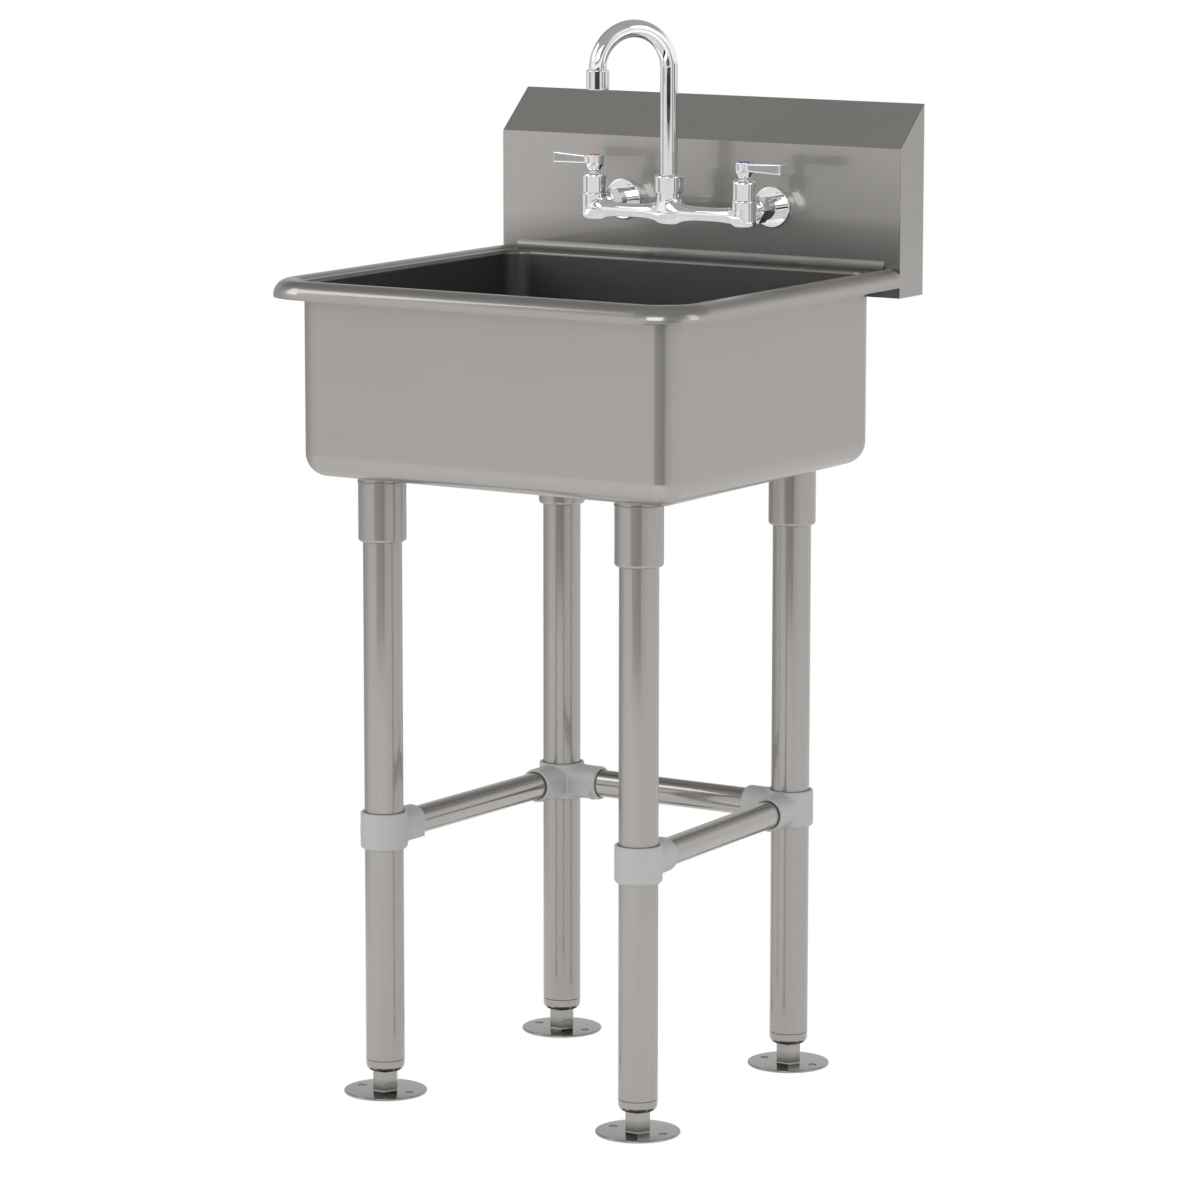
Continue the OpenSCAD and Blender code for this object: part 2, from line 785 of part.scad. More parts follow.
// Chrome sleeve with a flat flange that covers the hole in the splash
module wall_flange() color(CHROME) {
    bore = shank_d / 2 + 0.3;
    start = coupling_y + coupling_l + 0.5;
    reach = splash_y - start - 0.1;
    translate([valve_x, start, tap_z]) along_y() {
        ring(bore, sleeve_d / 2, reach, 0.8, 0);
        translate([0, 0, reach - flange_disc_t])
            ring(bore, wall_flange_d / 2, flange_disc_t, flange_disc_t / 2, 0);
    }
}

module wall_flange_right() wall_flange();
module wall_flange_left() mirror([1, 0, 0]) wall_flange();

module lock_nut() color(BRASS)
    translate([valve_x, splash_y + sheet_t + 0.1, tap_z]) along_y() difference() {
        union() {
            cylinder(d = 34, h = 1.5);
            hexagon(30, 8);
        }
        translate([0, 0, -1]) cylinder(d = shank_d + 2 * thread_fit, h = 12);
    }

module lock_nut_right() lock_nut();
module lock_nut_left() mirror([1, 0, 0]) lock_nut();

// Valves

module cartridge() color(BRASS) translate([valve_x, tap_y, cartridge_z + 0.2]) difference() {
    ring(0, cartridge_d / 2, cartridge_l, 1, 1);
    translate([0, 0, stem_bottom - cartridge_z - 0.5]) cylinder(d = stem_d + 2 * run_fit, h = 60);
    translate([0, 0, -1]) cylinder(d = 8, h = 9);
    translate([0, 0, 4]) rotate([0, 90, 180]) cylinder(d = 6, h = 20);
}

module cartridge_right() cartridge();
module cartridge_left() mirror([1, 0, 0]) cartridge();

module stem() color(BRASS) translate([valve_x, tap_y, stem_bottom]) difference() {
    ring(0, stem_d / 2, stem_top - stem_bottom, 0.5, 0.5);
    translate([0, 0, stem_top - stem_bottom - 9]) cylinder(d = 3.4, h = 10);
}

module stem_right() stem();
module stem_left() mirror([1, 0, 0]) stem();

module bonnet() color(CHROME) translate([valve_x, tap_y, housing_top + face_fit]) difference() {
    ring(0, housing_d / 2 - 0.6, bonnet_h - face_fit, 0.6, 4.5);
    translate([0, 0, -1]) cylinder(d = cartridge_d + 2 * thread_fit, h = cartridge_l - 18 + 1.5);
    cylinder(d = stem_d + 0.8, h = 60);
}

module bonnet_right() bonnet();
module bonnet_left() mirror([1, 0, 0]) bonnet();

// Levers

// Blade of a lever; it lies along +X from the valve's axis, and grows towards its blunt tip
module blade() {
    root_w = blade_w * 0.8;
    middle = hub_h - blade_drop - blade_root_t / 2;
    tip = middle + lever_l * tan(blade_rise);
    intersection() {
        rotate([90, 0, 0]) translate([0, 0, -blade_w]) linear_extrude(2 * blade_w) polygon([
            [0, middle - blade_root_t / 2], [lever_l - 0.8, tip - blade_t / 2],
            [lever_l, tip + 0.8 - blade_t / 2], [lever_l, tip - 0.8 + blade_t / 2],
            [lever_l - 0.8, tip + blade_t / 2], [0, middle + blade_root_t / 2]
        ]);
        linear_extrude(2 * hub_h) polygon([
            [0, -root_w / 2], [lever_l - 2, -blade_w / 2], [lever_l, -blade_w / 2 + 2],
            [lever_l, blade_w / 2 - 2], [lever_l - 2, blade_w / 2], [0, root_w / 2]
        ]);
    }
}

module lever() difference() {
    union() {
        rotate_extrude() polygon([
            [0, 0], [hub_foot_d / 2, 0], [hub_d / 2, hub_taper], [hub_d / 2, hub_h - 1.2],
            [hub_d / 2 - 1.2, hub_h], [0, hub_h]
        ]);
        blade();
    }
    translate([0, 0, -1]) cylinder(d = stem_d + 2 * thread_fit, h = stem_top - hub_z + 1 + face_fit);
    cylinder(d = 4.4, h = 2 * hub_h);
    translate([0, 0, hub_h - 3.5]) cylinder(d = 8, h = hub_h);
    translate([0, 0, hub_h - 1.2]) cylinder(d = index_d + 0.2, h = hub_h);
}

module lever_right() color(CHROME)
    translate([valve_x, tap_y, hub_z]) rotate([0, 0, -lever_turn]) lever();

module lever_left() color(CHROME)
    translate([-valve_x, tap_y, hub_z]) rotate([0, 0, 180 - lever_turn]) lever();

module handle_screw() color(STEEL_DARK) translate([valve_x, tap_y, 0]) {
    translate([0, 0, stem_top - 7]) ring(0, 1.6, hub_top - stem_top + 3.6, 0.3, 0);
    translate([0, 0, hub_top - 3.4]) difference() {
        ring(0, 3.8, 2, 0, 0.5);
        translate([-0.5, -5, 1.2]) cube([1, 10, 2]);
    }
}

module handle_screw_right() handle_screw();
module handle_screw_left() mirror([1, 0, 0]) handle_screw();

module index_button(x, tone) color(tone)
    translate([x, tap_y, hub_top - 1.1]) ring(0, index_d / 2, 1.6, 0, 0.4);

module index_right() index_button(valve_x, [0.13, 0.22, 0.62]);
module index_left() index_button(-valve_x, [0.82, 0.16, 0.14]);

// Spout

// Places what belongs to the spout on its swivel axis, turned as it stands; it points along -Y at no turn
module spout_place() {
    translate([0, tap_y, 0]) rotate([0, 0, -spout_turn]) children();
}

module spout() color(CHROME) spout_place() difference() {
    union() {
        translate([0, 0, spout_foot]) cylinder(d = spout_d, h = springing_z - spout_foot);
        translate([0, 0, post_top - shoulder_l - 1.8]) cylinder(d = shoulder_d, h = shoulder_l);
        translate([0, -neck_r, springing_z]) rotate([90, 0, 90])
            rotate_extrude(angle = 180) translate([neck_r, 0]) circle(d = spout_d);
        translate([0, -2 * neck_r, springing_z - 10]) cylinder(d = spout_d, h = 10);
    }
    translate([0, 0, spout_foot - 1]) cylinder(r = spout_r - spout_wall, h = springing_z - spout_foot + 1);
    translate([0, -neck_r, springing_z]) rotate([90, 0, 90])
        rotate_extrude(angle = 180) translate([neck_r, 0]) circle(r = spout_r - spout_wall);
    translate([0, -2 * neck_r, springing_z - 11]) cylinder(r = spout_r - spout_wall, h = 11);
}

module aerator() color(CHROME) spout_place() translate([0, -2 * neck_r, springing_z - aerator_h]) {
    difference() {
        ring(0, aerator_d / 2, aerator_h, 1.2, 1.5);
        translate([0, 0, aerator_h - 11]) cylinder(d = spout_d + 2 * thread_fit, h = 20);
        translate([0, 0, -1]) cylinder(d = aerator_d - 7, h = 4);
        for (turn = [0:45:315]) rotate([0, 0, turn]) translate([5.5, 0, 1]) cylinder(d = 2.4, h = 30);
        translate([0, 0, 1]) cylinder(d = 4, h = 30);
    }
}

module spout_nut() color(CHROME) translate([0, tap_y, nut_z]) difference() {
    ring(0, spout_nut_d / 2, spout_nut_h, 0.8, 2.5);
    translate([0, 0, -1]) cylinder(d = post_d + 2 * thread_fit, h = spout_nut_h - 1.5);
    cylinder(d = spout_d + 0.8, h = 60);
}

// Rubber seal between the post's top and the nut
module spout_seal() color(RUBBER) translate([0, tap_y, post_top + seal_r + 0.05])
    rotate_extrude() translate([spout_r + 0.2 + seal_r, 0]) circle(r = seal_r);

// Drain

module drain_body() color(STEEL) translate([0, drain_y, 0]) difference() {
    union() {
        translate([0, 0, bowl_floor + 0.1]) ring(0, drain_flange_d / 2, drain_rim_t, 0, 2);
        translate([0, 0, floor_z - drain_neck_l]) ring(0, drain_neck_d / 2, drain_neck_l + sheet_t + 1);
        translate([0, 0, floor_z - drain_tail_l]) ring(0, drain_tail_d / 2, drain_tail_l, 1, 0);
    }
    translate([0, 0, floor_z - drain_tail_l - 1]) cylinder(d = drain_bore, h = drain_tail_l + 20);
    translate([0, 0, bowl_floor + 0.1 + drain_rim_t - seat_t - 0.3])
        cylinder(d = strainer_d + 0.8, h = 10);
}

module drain_gasket() color(RUBBER)
    translate([0, drain_y, floor_z - 3.1]) ring(drain_neck_d / 2 + 0.3, drain_flange_d / 2 - 3, 3, 0.5, 0);

module drain_nut() color(BRASS) translate([0, drain_y, floor_z - 12.2])
    linear_extrude(9) difference() {
        union() {
            circle(d = drain_flange_d - 10);
            for (turn = [0:45:135]) rotate(turn) square([drain_flange_d - 4, 8], center = true);
        }
        circle(d = drain_neck_d + 2 * thread_fit);
    }

module strainer() color(STEEL) translate([0, drain_y, bowl_floor + 0.1 + drain_rim_t - seat_t]) {
    difference() {
        ring(0, strainer_d / 2, seat_t, 0, 0.4);
        for (row = [1:3], hole = [0:row * 6 - 1])
            rotate([0, 0, hole * 60 / row]) translate([row * 6, 0, -1])
                cylinder(d = strainer_hole_d, h = seat_t + 2, $fn = 24);
    }
}

bowl();
rolled_rim();
splash();
splash_cap_left();
splash_cap_right();
socket_front_left();
socket_front_right();
socket_rear_left();
socket_rear_right();
socket_screws();
leg_front_left();
leg_front_right();
leg_rear_left();
leg_rear_right();
foot_plug_front_left();
foot_plug_front_right();
foot_plug_rear_left();
foot_plug_rear_right();
foot_front_left();
foot_front_right();
foot_rear_left();
foot_rear_right();
tee_front_left();
tee_front_right();
corner_rear_left();
corner_rear_right();
rail_left();
rail_right();
rail_rear();
fitting_screws();
tap_body();
coupling_nut_left();
coupling_nut_right();
shank_left();
shank_right();
wall_flange_left();
wall_flange_right();
lock_nut_left();
lock_nut_right();
cartridge_left();
cartridge_right();
stem_left();
stem_right();
bonnet_left();
bonnet_right();
lever_left();
lever_right();
handle_screw_left();
handle_screw_right();
index_left();
index_right();
spout();
spout_nut();
spout_seal();
aerator();
drain_body();
drain_gasket();
drain_nut();
strainer();
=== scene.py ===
import bpy, json, math
import numpy as np
from mathutils import Matrix, Vector

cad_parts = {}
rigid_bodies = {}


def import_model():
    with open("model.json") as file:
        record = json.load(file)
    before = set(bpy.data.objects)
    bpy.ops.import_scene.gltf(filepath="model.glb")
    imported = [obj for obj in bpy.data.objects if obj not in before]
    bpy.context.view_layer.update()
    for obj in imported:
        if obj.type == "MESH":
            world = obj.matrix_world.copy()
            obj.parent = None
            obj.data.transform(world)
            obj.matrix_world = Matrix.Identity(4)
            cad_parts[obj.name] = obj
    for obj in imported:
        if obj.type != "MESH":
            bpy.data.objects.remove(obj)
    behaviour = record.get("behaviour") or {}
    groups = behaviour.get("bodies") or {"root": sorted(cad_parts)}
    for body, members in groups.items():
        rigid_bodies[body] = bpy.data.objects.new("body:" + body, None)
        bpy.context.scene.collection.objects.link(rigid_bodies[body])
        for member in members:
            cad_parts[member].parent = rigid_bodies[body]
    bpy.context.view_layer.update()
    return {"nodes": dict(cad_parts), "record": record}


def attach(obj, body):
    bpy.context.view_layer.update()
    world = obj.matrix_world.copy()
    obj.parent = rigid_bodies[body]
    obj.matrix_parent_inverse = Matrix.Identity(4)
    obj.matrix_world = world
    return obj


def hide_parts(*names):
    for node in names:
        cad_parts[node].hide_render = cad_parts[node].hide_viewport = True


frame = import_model()
nodes = frame["nodes"]


# the camera of the photograph, fitted to the corners of the sheet metal and the feet
view = {
    "turn": math.radians(32.03), "height": math.radians(9.45), "roll": math.radians(0.06),
    "place": (2.9475, -4.7057, 1.4437), "lens": 158.46, "sensor": 36.0, "shift": (0.00108, 0.00267),
    "clip": (0.05, 200),
}


def makeCamera():
    data = bpy.data.cameras.new("photoCamera")
    camera = bpy.data.objects.new("photoCamera", data)
    bpy.context.scene.collection.objects.link(camera)
    data.lens, data.sensor_width = view["lens"], view["sensor"]
    data.shift_x, data.shift_y = view["shift"]
    data.clip_start, data.clip_end = view["clip"]
    back = Vector((math.sin(view["turn"]) * math.cos(view["height"]),
                   -math.cos(view["turn"]) * math.cos(view["height"]), math.sin(view["height"])))
    turn = back.to_track_quat("Z", "Y").to_matrix().to_4x4()
    camera.matrix_world = Matrix.Translation(view["place"]) @ turn @ Matrix.Rotation(view["roll"], 4, "Z")
    bpy.context.scene.camera = camera
    bpy.context.scene.view_settings.view_transform = "Standard"


makeCamera()


class Wire:
    # one output of a shader or geometry node; it takes + - * / like a plain number
    def __init__(self, tree, socket):
        self.tree, self.socket = tree, socket

    def math(self, operation, *others):
        return grow(self.tree, "ShaderNodeMath", {"operation": operation}, dict(enumerate((self, *others))))

    def __add__(self, other):
        return self.math("ADD", other)

    def __sub__(self, other):
        return self.math("SUBTRACT", other)

    def __rsub__(self, other):
        return self.math("MULTIPLY_ADD", -1.0, other)

    def __mul__(self, other):
        return self.math("MULTIPLY", other)

    def __truediv__(self, other):
        return self.math("DIVIDE", other)

    __radd__, __rmul__ = __add__, __mul__

    def between(self, low, high, start=0.0, end=1.0):
        return grow(self.tree, "ShaderNodeMapRange", {"clamp": True}, {
            "Value": self, "From Min": low, "From Max": high, "To Min": start, "To Max": end})


def grow(tree, kind, settings=None, values=None, out=0):
    # adds one node: its settings first, then the values or wires of its sockets
    node = tree.nodes.new(kind)
    for name, value in (settings or {}).items():
        setattr(node, name, value)
    for name, value in (values or {}).items():
        if isinstance(value, Wire):
            tree.links.new(value.socket, node.inputs[name])
        else:
            node.inputs[name].default_value = value
    return Wire(tree, node.outputs[out])


def newFinish(name, settings):
    finish = bpy.data.materials.new(name)
    finish.use_nodes = True
    shader = finish.node_tree.nodes["Principled BSDF"]
    for slot, value in settings.items():
        shader.inputs[slot].default_value = value
    return finish, finish.node_tree, shader


def plug(wire, shader, slot):
    wire.tree.links.new(wire.socket, shader.inputs[slot])


def noise(tree, scale, size=1.0, detail=2.0, rough=0.5):
    spot = grow(tree, "ShaderNodeTexCoord", out=3)
    stretched = grow(tree, "ShaderNodeMapping", values={"Vector": spot, "Scale": scale})
    return grow(tree, "ShaderNodeTexNoise", values={
        "Vector": stretched, "Scale": size, "Detail": detail, "Roughness": rough})


def tones(tree, factor, colour, contrast):
    low = (*(c * (1 - contrast) for c in colour), 1)
    high = (*(c * (1 + contrast) for c in colour), 1)
    return grow(tree, "ShaderNodeMix", {"data_type": "RGBA"}, {0: factor, 6: low, 7: high}, out=2)


def height(tree):
    return grow(tree, "ShaderNodeSeparateXYZ", values={0: grow(tree, "ShaderNodeTexCoord", out=3)}, out=2)


noiseRange = (0.3, 0.7)  # what a noise texture mostly keeps to
steelLook = {
    "sheet": (0.385, 0.371, 0.354), "splash": (0.43, 0.414, 0.395), "tube": (0.378, 0.364, 0.347),
    "rail": (0.39, 0.375, 0.355), "turned": (0.35, 0.338, 0.322), "drain": (0.42, 0.41, 0.395),
    "grainLength": 0.07, "grainWidth": 0.0012, "grainDetail": 3.0, "grainRough": 0.6, "flat": (0.85, 0.95),
    "grainShare": 0.7, "cloud": 5.0, "contrast": 0.045, "spreadRange": 0.04, "mirrorRange": 0.025,
    # where painted shade darkens the inside of the bowl, the feet's stems and the ledge behind the bowl
    "bowlMiddle": (0.0, -0.016, 0.8), "bowlEdge": 0.004,
    "stemEdge": (0.0033, 0.0038), "stemFade": (0.0045, 0.0165), "ledgeFade": (0.874, 0.912),
}


def steelGrain(tree, along):
    # long fine scratches; those of the sheet lie level on its walls and across its flat faces
    look = steelLook
    long, thin = 1 / look["grainLength"], 1 / look["grainWidth"]

    def scratches(scale):
        return noise(tree, scale, detail=look["grainDetail"], rough=look["grainRough"])

    if along == "sheet":
        wall, flat = scratches((long, long, thin)), scratches((long, thin, long))
        normal = grow(tree, "ShaderNodeNewGeometry", out=1)
        upward = grow(tree, "ShaderNodeSeparateXYZ", values={0: normal}, out=2)
        return wall + (flat - wall) * upward.math("ABSOLUTE").between(*look["flat"])
    return scratches(tuple(long if axis == along else thin for axis in "xyz"))


def paintedBowlShade(tree):
    # painted shade: 1 on the faces that look into the bowl, as they lean towards its middle; there the
    # steel's colour is darkened in place of the shade inside the bowl
    spot = grow(tree, "ShaderNodeTexCoord", out=3)
    middle = steelLook["bowlMiddle"]
    away = grow(tree, "ShaderNodeVectorMath", {"operation": "SUBTRACT"}, {0: spot, 1: middle})
    normal = grow(tree, "ShaderNodeNewGeometry", out=1)
    lean = grow(tree, "ShaderNodeVectorMath", {"operation": "DOT_PRODUCT"}, {0: away, 1: normal}, out=1)
    return 1 - lean.between(-steelLook["bowlEdge"], steelLook["bowlEdge"])


def paintedStemShade(tree):
    # painted shade: 1 round the lowest part of the feet's stems, just above the bright edge where they meet
    # the flanges; there the steel's colour is darkened in place of the dark that the flanges mirror into them
    z = height(tree)
    return z.between(*steelLook["stemEdge"]) * z.between(*steelLook["stemFade"], 1.0, 0.0)


def paintedLedgeShade(tree):
    # painted shade: 1 on the ledge behind the bowl, fading out above the bend into the upright face; there
    # the splash's colour is darkened to dim the bright lines that the bend mirrors
    return height(tree).between(*steelLook["ledgeFade"], 1.0, 0.0)


def brushedSteel(name, colour, along, spread=0.44, mirror=0.10, share=0.36, dark=0.0, where=None):
    # two layers of gloss, because the grain spreads most of the light and the polish mirrors the rest; share
    # is the polish's part, and the places that where picks out get painted shade, darker by dark
    look = steelLook
    finish, tree, shader = newFinish(name, {"Metallic": 1.0, "Roughness": spread})
    polish = tree.nodes.new("ShaderNodeBsdfPrincipled")
    polish.inputs["Metallic"].default_value = 1.0
    grain = steelGrain(tree, along)
    cloud = noise(tree, (look["cloud"],) * 3)
    mixed = grain * look["grainShare"] + cloud * (1 - look["grainShare"])
    tone = tones(tree, mixed.between(*noiseRange), look[colour], look["contrast"])
    # painted shade: the colour is scaled down where the mask is 1
    if where:
        level = 1 - where(tree) * dark
        tone = grow(tree, "ShaderNodeVectorMath", {"operation": "SCALE"}, {0: tone, "Scale": level})
    for layer, rough, reach in ((shader, spread, look["spreadRange"]), (polish, mirror, look["mirrorRange"])):
        plug(tone, layer, "Base Color")
        plug(grain.between(*noiseRange, rough - reach, rough + reach), layer, "Roughness")
    layers = grow(tree, "ShaderNodeMixShader", values={
        0: share, 1: Wire(tree, shader.outputs[0]), 2: Wire(tree, polish.outputs[0])})
    tree.links.new(layers.socket, tree.nodes["Material Output"].inputs[0])
    return finish


chromeLook = {
    "colour": (0.85, 0.855, 0.865), "contrast": 0.025, "cloud": 60.0, "middle": 0.04,
    "rough": (0.025, 0.06), "roughRange": (0.35, 0.65),
}
castLook = {
    "colour": (0.52, 0.53, 0.53), "contrast": 0.035, "metallic": 0.35, "specular": 0.35,
    "middle": 0.55, "rough": (0.5, 0.62),
    "grain": 900.0, "grainShare": 0.4, "cloud": 25.0, "bump": 0.35, "bumpDepth": 0.00008,
}
plainLook = {"contrast": 0.06, "cloud": 70.0}


def chromeFinish(name):
    look = chromeLook
    finish, tree, shader = newFinish(name, {"Metallic": 1.0, "Roughness": look["middle"]})
    cloud = noise(tree, (look["cloud"],) * 3, detail=3.0)
    plug(tones(tree, cloud.between(*noiseRange), look["colour"], look["contrast"]), shader, "Base Color")
    plug(cloud.between(*look["roughRange"], *look["rough"]), shader, "Roughness")
    return finish


def castFinish(name):
    look = castLook
    finish, tree, shader = newFinish(name, {
        "Metallic": look["metallic"], "Roughness": look["middle"], "Specular IOR Level": look["specular"]})
    grain = noise(tree, (look["grain"],) * 3, detail=3.0, rough=0.6)
    cloud = noise(tree, (look["cloud"],) * 3)
    mixed = grain * look["grainShare"] + cloud * (1 - look["grainShare"])
    plug(tones(tree, mixed.between(*noiseRange), look["colour"], look["contrast"]), shader, "Base Color")
    plug(cloud.between(*noiseRange, *look["rough"]), shader, "Roughness")
    bump = {"Height": grain, "Strength": look["bump"], "Distance": look["bumpDepth"]}
    plug(grow(tree, "ShaderNodeBump", values=bump), shader, "Normal")
    return finish


def plainFinish(name, colour, metallic, rough, spread=0.05):
    look = plainLook
    finish, tree, shader = newFinish(name, {"Metallic": metallic, "Roughness": rough})
    cloud = noise(tree, (look["cloud"],) * 3, detail=3.0, rough=0.55)
    plug(tones(tree, cloud.between(*noiseRange), colour, look["contrast"]), shader, "Base Color")
    plug(cloud.between(*noiseRange, rough - spread, rough + spread), shader, "Roughness")
    return finish


finishes = {
    "steel_sheet": brushedSteel("sheetSteel", "sheet", "sheet"),
    "steel_tube": brushedSteel("tubeSteel", "tube", "z"),
    # the feet's stems get painted shade just above their flanges
    "steel_turned": brushedSteel("turnedSteel", "turned", "z", spread=0.30, mirror=0.07, share=0.86,
                                 dark=0.72, where=paintedStemShade),
    "steel_drain": brushedSteel("drainSteel", "drain", "y", spread=0.36),
    "screw_steel": plainFinish("screwSteel", (0.20, 0.20, 0.20), 1.0, 0.35),
    "cast_grey": castFinish("castGrey"),
    "chrome": chromeFinish("chrome"),
    "brass": plainFinish("brass", (0.62, 0.44, 0.18), 1.0, 0.32),
    "rubber": plainFinish("blackRubber", (0.02, 0.02, 0.02), 0.0, 0.7),
    "index_red": plainFinish("indexRed", (0.80, 0.045, 0.04), 0.0, 0.25, 0.02),
    "index_blue": plainFinish("indexBlue", (0.02, 0.06, 0.50), 0.0, 0.25, 0.02),
}
# the same steel where it is drawn, rolled or polished in another way, with painted shade darkening the inside
# of the bowl and the ledge behind it
ownSteel = {
    "rail_left": brushedSteel("sideRailSteel", "rail", "y", spread=0.30, mirror=0.07, share=0.60),
    "rail_rear": brushedSteel("rearRailSteel", "rail", "x", spread=0.30, mirror=0.07, share=0.60),
    # the bowl's inside is darkened as painted shade
    "bowl": brushedSteel("bowlSteel", "sheet", "sheet", dark=0.42, where=paintedBowlShade),
    "rolled_rim": brushedSteel("rimSteel", "sheet", "sheet", spread=0.37, mirror=0.10, share=0.38),
    # the ledge behind the bowl is darkened as painted shade
    "splash": brushedSteel("splashSteel", "splash", "sheet", spread=0.42, mirror=0.06, share=0.20,
                           dark=0.36, where=paintedLedgeShade),
}
ownSteel["rail_right"] = ownSteel["rail_left"]
slotOf = {part["node"]: part["material_slot"] for part in frame["record"]["subparts"]}
for name, node in nodes.items():
    node.data.materials.clear()
    node.data.materials.append(ownSteel.get(name, finishes[slotOf[name]]))
print("finishes set on the CAD nodes")


# meshes are worked out in millimetres and turned to metres here
def newPiece(name, parts, body, slot, replaced=(), sharp=38.0):
    mesh = bpy.data.meshes.new(name)
    points, faces = [], []
    for partPoints, partFaces in parts:
        start = len(points)
        points += [tuple(p) for p in np.asarray(partPoints, float) * 0.001]
        faces += [tuple(int(i) + start for i in face) for face in partFaces]
    mesh.from_pydata(points, [], faces)
    mesh.validate()
    mesh.shade_smooth()
    mesh.set_sharp_from_angle(angle=math.radians(sharp))
    mesh.materials.append(finishes[slot])
    piece = bpy.data.objects.new(name, mesh)
    bpy.context.scene.collection.objects.link(piece)
    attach(piece, body)
    if replaced:
        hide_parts(*replaced)
    return piece


def moved(part, at=(0, 0, 0), turn=None):
    points = np.asarray(part[0], float)
    if turn is not None:
        points = points @ np.array(turn.to_3x3()).T
    return points + np.array(at, float), part[1]


def mirrored(part):
    return np.asarray(part[0], float) * (-1, 1, 1), [tuple(reversed(tuple(face))) for face in part[1]]


def lathe(profile, steps=96):
    # a closed outline of (radius, height) points, counter-clockwise, turned about Z
    points, index = [], []
    for r, z in profile:
        if r < 1e-6:
            points.append((0, 0, z))
            index.append([len(points) - 1] * steps)
        else:
            index.append(list(range(len(points), len(points) + steps)))
            points += [(r * math.cos(2 * math.pi * i / steps), r * math.sin(2 * math.pi * i / steps), z)
                       for i in range(steps)]
    faces = []
    for a, b in zip(index, index[1:] + index[:1]):
        for i in range(steps):
            j = (i + 1) % steps
            ring = [a[i], a[j], b[j], b[i]]
            face = [v for k, v in enumerate(ring) if v != ring[k - 1]]
            if len(face) > 2:
                faces.append(face)
    return points, faces


def rounded(r, z, edge, start, end, steps=6):
    # points of an arc about (r, z), its angles in degrees from the outside
    return [(r + edge * math.cos(math.radians(start + (end - start) * i / steps)),
             z + edge * math.sin(math.radians(start + (end - start) * i / steps))) for i in range(steps + 1)]


def hexNut(flats, length, bore, foot=0.0, lean=30.0, cutIn=0.4, steps=96):
    # a hexagon along Z, its corners cut back at the ends by a cone that starts a little inside the flats;
    # foot flares it where it starts
    inner, slope = flats / 2 - cutIn, math.tan(math.radians(lean))

    def across(i):
        return flats / 2 / math.cos(math.radians((360 * i / steps) % 60 - 30))

    def ring(radius, height):
        return [(radius(i) * math.cos(2 * math.pi * i / steps), radius(i) * math.sin(2 * math.pi * i / steps),
                 height(radius(i))) for i in range(steps)]

    def top(r):
        return length - max(0.0, r - inner) * slope

    rings = [ring(lambda i: bore, lambda r: 0.0), ring(lambda i: inner, lambda r: 0.0)]
    if foot:
        rings += [ring(lambda i: across(i) + foot, lambda r: 0.0),
                  ring(lambda i: across(i) + foot * 0.3, lambda r: foot * 0.3), ring(across, lambda r: foot)]
    else:
        rings.append(ring(across, lambda r: max(0.0, r - inner) * slope))
    rings += [ring(across, top), ring(lambda i: inner, lambda r: length),
              ring(lambda i: bore, lambda r: length)]
    points = [p for r in rings for p in r]
    faces = []
    for k in range(len(rings)):
        a, b = k * steps, (k + 1) % len(rings) * steps
        for i in range(steps):
            j = (i + 1) % steps
            faces.append((a + i, a + j, b + j, b + i))
    return points, faces


def growSkin(field, low, high, step, rounds=4, reach=0.02, leastSlope=0.25):
    # a surface grown where the field is zero, for castings whose forms run into each other: one point in each
    # cell of the grid that it crosses, then moved onto the surface in a few rounds
    axes = [np.arange(l - 2 * step, h + 3 * step, step) for l, h in zip(low, high)]
    spot = np.stack(np.meshgrid(*axes, indexing="ij"), -1)
    value = field(spot[..., 0], spot[..., 1], spot[..., 2])
    inside = value < 0
    cells = tuple(n - 1 for n in value.shape)
    total, count = np.zeros((*cells, 3)), np.zeros(cells)
    crossings = []
    for axis in range(3):
        first = tuple(slice(0, -1) if k == axis else slice(None) for k in range(3))
        second = tuple(slice(1, None) if k == axis else slice(None) for k in range(3))
        hit = np.argwhere(inside[first] != inside[second])
        a, b = value[first][tuple(hit.T)], value[second][tuple(hit.T)]
        point = spot[first][tuple(hit.T)].copy()
        point[:, axis] += step * a / (a - b)
        others = [k for k in range(3) if k != axis]
        corners = []
        for da, db in ((-1, -1), (0, -1), (0, 0), (-1, 0)):
            cell = hit.copy()
            cell[:, others[0]] += da
            cell[:, others[1]] += db
            np.add.at(total, tuple(cell.T), point)
            np.add.at(count, tuple(cell.T), 1)
            corners.append(np.ravel_multi_index(tuple(cell.T), cells))
        crossings.append((np.stack(corners, -1), (a > 0) if axis == 1 else (a < 0)))
    used = np.flatnonzero(count.ravel())
    index = np.full(count.size, -1)
    index[used] = np.arange(len(used))
    points = total.reshape(-1, 3)[used] / count.ravel()[used, None]
    for _ in range(rounds):
        here = field(*points.T)
        slope = np.stack([(field(*(points + d).T) - field(*(points - d).T)) / (2 * reach)
                          for d in np.eye(3) * reach], -1)
        size = np.maximum((slope ** 2).sum(-1), leastSlope)
        points = points - np.clip(here / size, -step, step)[:, None] * slope
    faces = []
    for corners, keep in crossings:
        quads = index[corners]
        quads[~keep] = quads[~keep][:, ::-1]
        faces += quads.tolist()
    return points, faces


def join(a, b, soft):
    # union of two distances with a fillet
    h = np.clip(0.5 + 0.5 * (b - a) / soft, 0, 1)
    return b + (a - b) * h - soft * h * (1 - h)


def cut(a, b, soft=0.3):
    # a without b, its edge rounded
    return -join(-a, b, soft)


def both(a, b, soft=0.3):
    return -join(-a, -b, soft)


def rod(radial, along, r, low, high, edge):
    # a round bar with rounded ends
    q = radial - (r - edge)
    w = np.abs(along - (low + high) / 2) - ((high - low) / 2 - edge)
    return np.minimum(np.maximum(q, w), 0) + np.hypot(np.maximum(q, 0), np.maximum(w, 0)) - edge


